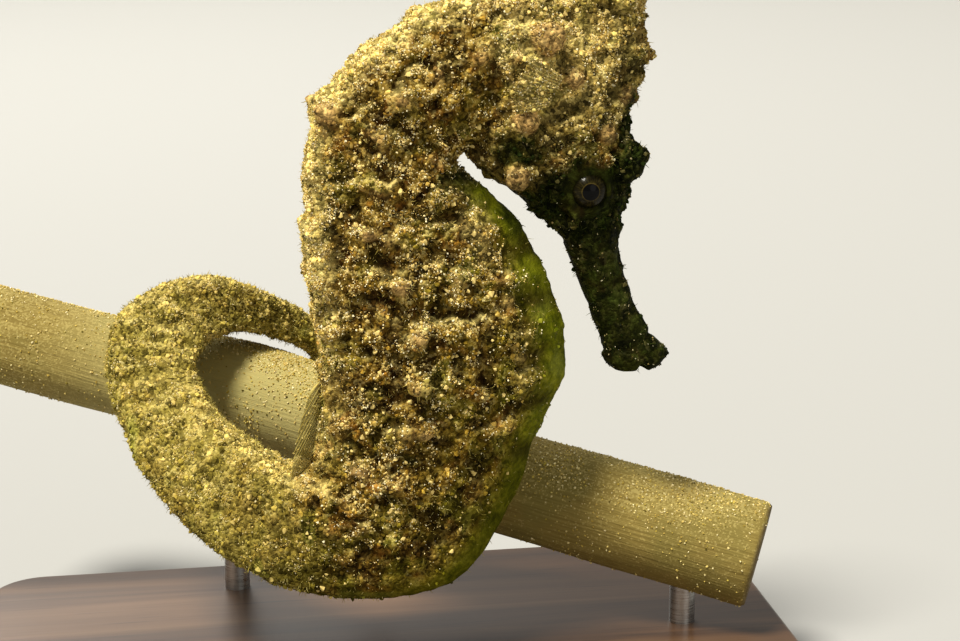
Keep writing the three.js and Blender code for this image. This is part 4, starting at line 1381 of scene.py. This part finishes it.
def pectoral_fin(name, side, material, marks):
    high, low = np.array([16.6, 5.55, 73.0]), np.array([15.0, 5.6, 69.6])
    rays, lean = 13, math.radians(11)
    u = np.linspace(0, 1, rays * 8 + 1)
    turn = np.radians(168 + 42 * (u - 0.5))
    away = np.stack([np.cos(turn) * math.cos(lean), np.full_like(u, math.sin(lean)), np.sin(turn)], axis=1)
    root = high + (low - high) * u[:, None]
    edge = root + away * (4.3 * (0.8 + 0.2 * np.sin(math.pi * u)))[:, None]
    inward = root - away * 0.5 - [0, 0.5, 0]
    mirror = np.array([1, side, 1])
    across = np.array([-math.sin(lean), -math.cos(lean), 0]) * mirror
    return fin_mesh(name, inward * mirror, edge * mirror, across, rays, 0.42, material, 0.07, marks)


# ---------------------------------------------------------------- stem and stand


def bark(along, fineness, turn):
    """Noise on a circle of bark, for each angle of turn."""
    around = fineness * np.stack([np.cos(turn), np.sin(turn)], axis=1)
    return np.array([noise.noise(Vector((along, *place))) for place in around])


def stem_piece(material):
    along = np.linspace(STEM["from"], STEM["to"], 220)
    turn = np.linspace(0, 2 * math.pi, 96, endpoint=False)
    loops = []
    for a in along:
        radius = STEM["radius"] + STEM["growth"] * a - 0.03
        edge = min(a - STEM["from"], STEM["to"] - a)
        radius -= 0.35 * math.exp(-edge / 0.25)
        ring = radius + 0.09 * bark(a / 9, 2, turn) - 0.05 * np.abs(bark(a / 26, 7, turn))
        circle = np.cos(turn)[:, None] * STEM_FRONT + np.sin(turn)[:, None] * STEM_UP
        loops.append(on_stem(a) + circle * ring[:, None])
    inner = []
    for share in (0.85, 0.6, 0.3):
        for end in (0, -1):
            middle = loops[end].mean(0)
            inner.append(middle + (loops[end] - middle) * share)
    first, last = inner[0::2][::-1], inner[1::2]
    all_loops = np.array(first + loops + last)
    points, faces = closed_tube(all_loops)
    obj = make_object("perch", points, faces, material)
    mesh = obj.data
    place = np.array([np.dot(p - STEM["point"], STEM_ALONG) for p in points])
    off_axis = np.linalg.norm(points - np.array([on_stem(a) for a in place]), axis=1)
    at_end = (np.minimum(place - STEM["from"], STEM["to"] - place) < 0.02) & (off_axis < 6.0)
    store(mesh, "cut_end", at_end.astype(float))
    shade_smooth(obj)
    rounds, size = len(all_loops), len(turn)
    around = np.concatenate([np.tile(np.linspace(0, 1, size, endpoint=False), rounds), [0.5, 0.5]])
    run = np.concatenate([np.repeat(np.linspace(0, 1, rounds), size), [0, 1]])
    normals = vertex_normals(mesh)
    lit = np.clip(normals[:, 2], 0, 1)
    patch = noise_at(points, 7.0, 4.4)
    cover = (0.16 + 1.0 * lit**1.3) * np.clip(0.75 + 1.6 * patch, 0.15, 2)
    cover *= 1 + 0.7 * (place < -8)
    drift = np.exp(-(((place + 17) / 6.5) ** 2)) * smooth_step(-0.1, 0.35, normals @ STEM_FRONT)
    cover += 1.5 * drift * smooth_step(-0.25, 0.3, patch)
    dust = 0.55 * lit**2 * (0.8 + 1.2 * patch) + 0.15 * (place < -8)
    for name, values in {
        "unwrap_u": around,
        "unwrap_v": run,
        "cover": np.where(at_end, 0, cover),
        "dust": np.where(at_end, 0, np.clip(dust, 0, 1)),
    }.items():
        store(mesh, name, values)
    for mark in MARKS:
        store(mesh, mark.lower(), np.full(len(points), float(mark == "Tail")))
    return obj


def rod_piece(name, along, material):
    foot = on_stem(along)
    high = foot[2] - STEM["radius"] / math.cos(slope) + 3
    angle = np.linspace(0, 2 * math.pi, 48, endpoint=False)
    circle = np.stack([np.cos(angle), np.sin(angle), np.zeros_like(angle)], axis=1) * 1.5
    heights = np.linspace(BASE["high"] - 3, high, 12)
    loops = np.array([circle + [foot[0], foot[1], z] for z in heights])
    obj = make_object(name, *closed_tube(loops), material)
    shade_smooth(obj)
    for polygon in obj.data.polygons:
        polygon.use_smooth = len(polygon.vertices) == 4
    return obj


def base_piece(material):
    long, wide = BASE["long"] / 2, BASE["wide"] / 2
    corner, bevel, high = BASE["corner"], BASE["bevel"], BASE["high"]

    def outline(inset):
        points = []
        r = corner - inset
        for cx, cy, start in ((1, 1, 0), (-1, 1, 90), (-1, -1, 180), (1, -1, 270)):
            for a in np.radians(np.linspace(start, start + 90, 13)):
                x = cx * (long - corner) + r * math.cos(a)
                points.append((x, cy * (wide - corner) + r * math.sin(a)))
        return np.array(points)

    arc = np.radians(np.linspace(0, 90, 7))
    profile = [(bevel * (1 - math.sin(a)), bevel * (1 - math.cos(a))) for a in arc]
    profile += [(bevel * (1 - math.cos(a)), high - bevel * (1 - math.sin(a))) for a in arc]
    profile = [(6.0, 0.0)] + profile + [(6.5, float(high))]
    loops = []
    for inset, z in profile:
        ring = outline(min(inset, corner - 0.3))
        loops.append(np.column_stack([ring, np.full(len(ring), z)]))
    points, faces = closed_tube(np.array(loops))
    obj = make_object("base_board", points - [0, ANIMAL_SIDE, 0], faces, material)
    shade_smooth(obj)
    return obj


# ---------------------------------------------------------------- putting it together

skin_finish = skin_material()
fin_finish = fin_material()
PALE = [
    (0.0, (0.32, 0.2, 0.045)),
    (0.25, (0.55, 0.39, 0.12)),
    (0.45, (0.78, 0.6, 0.24)),
    (0.64, (0.94, 0.78, 0.4)),
    (0.82, (0.98, 0.88, 0.56)),
]
OCHRE = [
    (0.0, (0.12, 0.068, 0.009)),
    (0.4, (0.3, 0.18, 0.028)),
    (0.62, (0.5, 0.33, 0.07)),
    (0.82, (0.76, 0.58, 0.2)),
]
pale_sand = sand_material("pale_sand", PALE, 0.12, 0.22, 0.6, 0.22)
ochre_sand = sand_material("ochre_sand", OCHRE, 0.4, 0.35, 0.85, 0.1)
silt = sand_material("silt_crumbs", OCHRE, 0.8, 0.7, 0.9, 0.03)

body_skin = skin(skin_finish)
coarse = scatter_tree("coarse_sand", coarse_grain)
fine = scatter_tree("fine_sand", fine_grain)
threads = scatter_tree("threads", thread)

# name, tree, finish, grains per square metre, seed, smallest and largest radius, lift, mark
COAT_PIECES = [
    ("sand_pale_1", coarse, pale_sand, 3.4e6, 11, 0.07, 0.15, 0.35, "coarse"),
    ("sand_ochre_1", coarse, ochre_sand, 3.0e6, 37, 0.08, 0.17, 0.35, "coarse"),
    ("silt_crumbs", coarse, silt, 1.8e6, 91, 0.16, 0.34, 0.1, "crumbs"),
    ("sand_pale_2", fine, pale_sand, 8.0e6, 53, 0.045, 0.1, 0.4, "cover"),
    ("sand_pale_3", fine, pale_sand, 7.5e6, 29, 0.045, 0.09, 0.6, "cover"),
    ("sand_ochre_2", fine, ochre_sand, 7.5e6, 67, 0.05, 0.11, 0.4, "cover"),
    ("fuzz", threads, fuzz_material(), 3.4e6, 71, 0.22, 0.5, 0.0, "fuzz"),
]
SIDE_FIN = {"cover": 0.9, "crumbs": 0.5, "fuzz": 0.8, "hollow": 0.3, "pale": 0.45, "clear": 0.15}
BACK_FIN = {"cover": 0.1, "fuzz": 0.2, "tail": 1.0, "pale": 0.35, "clear": 0.5}
BELLY_FIN = {"cover": 0.1, "keel": 1.0, "hollow": 0.3, "clear": 0.1}
fins = {
    "dorsal_fin": midline_fin(
        "fin_dorsal", 9.3, 11.2, 2.4, 2.3, 0.9, 0.5, "back", 17, 0.35, fin_finish, BACK_FIN
    ),
    "anal_fin": midline_fin(
        "fin_anal", 9.9, 10.3, 0.3, 1.2, 0.0, 0.4, "belly", 4, 0.05, fin_finish, BELLY_FIN
    ),
    "pectoral_fin_left": pectoral_fin("fin_pectoral_left", 1, fin_finish, SIDE_FIN),
    "pectoral_fin_right": pectoral_fin("fin_pectoral_right", -1, fin_finish, SIDE_FIN),
}
for fin in fins.values():
    unwrapped_like(fin, body_skin)
surface = one_surface([body_skin, *fins.values()])
coat = [
    scattered(name, surface, tree, finish, Density=density, Seed=seed, Smallest=low * MM,
              Largest=high * MM, Lift=lift, Mark=mark)
    for name, tree, finish, density, seed, low, high, lift, mark in COAT_PIECES
]
bpy.data.objects.remove(surface)
for piece in (body_skin, *fins.values()):
    for name in SPREAD_MARKS:
        piece.data.attributes.remove(piece.data.attributes[name])

perch = stem_piece(stem_material())
perch_sand = scattered("sand_on_perch", perch, coarse, pale_sand, Density=4.2e6, Seed=5,
                       Smallest=0.06 * MM, Largest=0.15 * MM, Lift=0.3, Mark="cover")
for name in ("unwrap_u", "unwrap_v", "cover", *[mark.lower() for mark in MARKS]):
    perch.data.attributes.remove(perch.data.attributes[name])

eye_finish = eye_material()
eyes = [eyeball("eyeball_left", 1, eye_finish), eyeball("eyeball_right", -1, eye_finish)]
walnut, steel = walnut_material(), steel_material()
base = base_piece(walnut)
rods = [rod_piece(f"rod_{n}", a, steel) for n, a in zip(("left", "right"), RODS_ALONG)]

FLESH = ["snout", "head", "coronet", "neck", "chest", "belly", "brood_pouch", "tail_root"]
FLESH += [f"tail_{k}" for k in range(1, 9)]
for piece in [body_skin, *coat]:
    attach(piece, "root")
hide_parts(*FLESH)
for piece, node in zip(eyes, ("eye_left", "eye_right")):
    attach(piece, "root")
    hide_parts(node)
for node, piece in fins.items():
    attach(piece, "root")
    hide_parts(node)
for piece in (perch, perch_sand):
    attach(piece, "root")
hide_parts("perch_stem")
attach(base, "root")
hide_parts("stand_base")
for piece, node in zip(rods, ("stand_rod_left", "stand_rod_right")):
    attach(piece, "root")
    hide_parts(node)

# ---------------------------------------------------------------- floor, light and camera

floor = make_object(
    "floor", [(-3000, -3000, 0), (3000, -3000, 0), (3000, 3000, 0), (-3000, 3000, 0)], [(0, 1, 2, 3)],
    floor_material(),
)


def soft_light(name, place, target, size, watts, colour):
    lamp = bpy.data.lights.new(name, "AREA")
    lamp.shape = "DISK"
    lamp.size = size
    lamp.energy = watts
    lamp.color = colour
    obj = in_scene(bpy.data.objects.new(name, lamp))
    obj.location = place
    obj.rotation_euler = (Vector(target) - Vector(place)).to_track_quat("-Z", "Y").to_euler()


sun = bpy.data.lights.new("key", "SUN")
sun.energy = 5.2
sun.angle = math.radians(16)
sun.color = (1.0, 0.955, 0.85)
key = in_scene(bpy.data.objects.new("key", sun))
key.rotation_euler = Vector((0.42, 0.34, -1.0)).to_track_quat("-Z", "Y").to_euler()
soft_light("fill", (0.3, -0.6, 0.25), (0, 0, 0.04), 0.5, 0.7, (1.0, 0.97, 0.9))
soft_light("rim", (-0.1, 0.5, 0.45), (0, 0, 0.05), 0.35, 2.0, (1.0, 0.98, 0.92))
world = bpy.data.worlds.new("studio")
world.use_nodes = True
world.node_tree.nodes["Background"].inputs["Color"].default_value = (1.0, 0.97, 0.9, 1)
world.node_tree.nodes["Background"].inputs["Strength"].default_value = 0.28
bpy.context.scene.world = world
bpy.context.scene.view_settings.view_transform = "Standard"

AZIMUTH, ELEVATION, DISTANCE = math.radians(-10), math.radians(15), 0.3
TARGET = Vector((9, ANIMAL_SIDE, 45)) * MM
SENSOR, TIMES_SENSOR = 36.0, 2727 / 960  # millimetres, and the focal length in sensor widths
away = Vector(
    (
        math.sin(AZIMUTH) * math.cos(ELEVATION),
        -math.cos(AZIMUTH) * math.cos(ELEVATION),
        math.sin(ELEVATION),
    )
)
lens = bpy.data.cameras.new("camera")
lens.sensor_width = SENSOR
lens.lens = SENSOR * TIMES_SENSOR
lens.clip_start = 0.01
camera = in_scene(bpy.data.objects.new("camera", lens))
camera.location = TARGET + away * DISTANCE
camera.rotation_euler = (-away).to_track_quat("-Z", "Y").to_euler()
bpy.context.scene.camera = camera


def plain(box):
    return [[float(v) for v in corner] for corner in box]
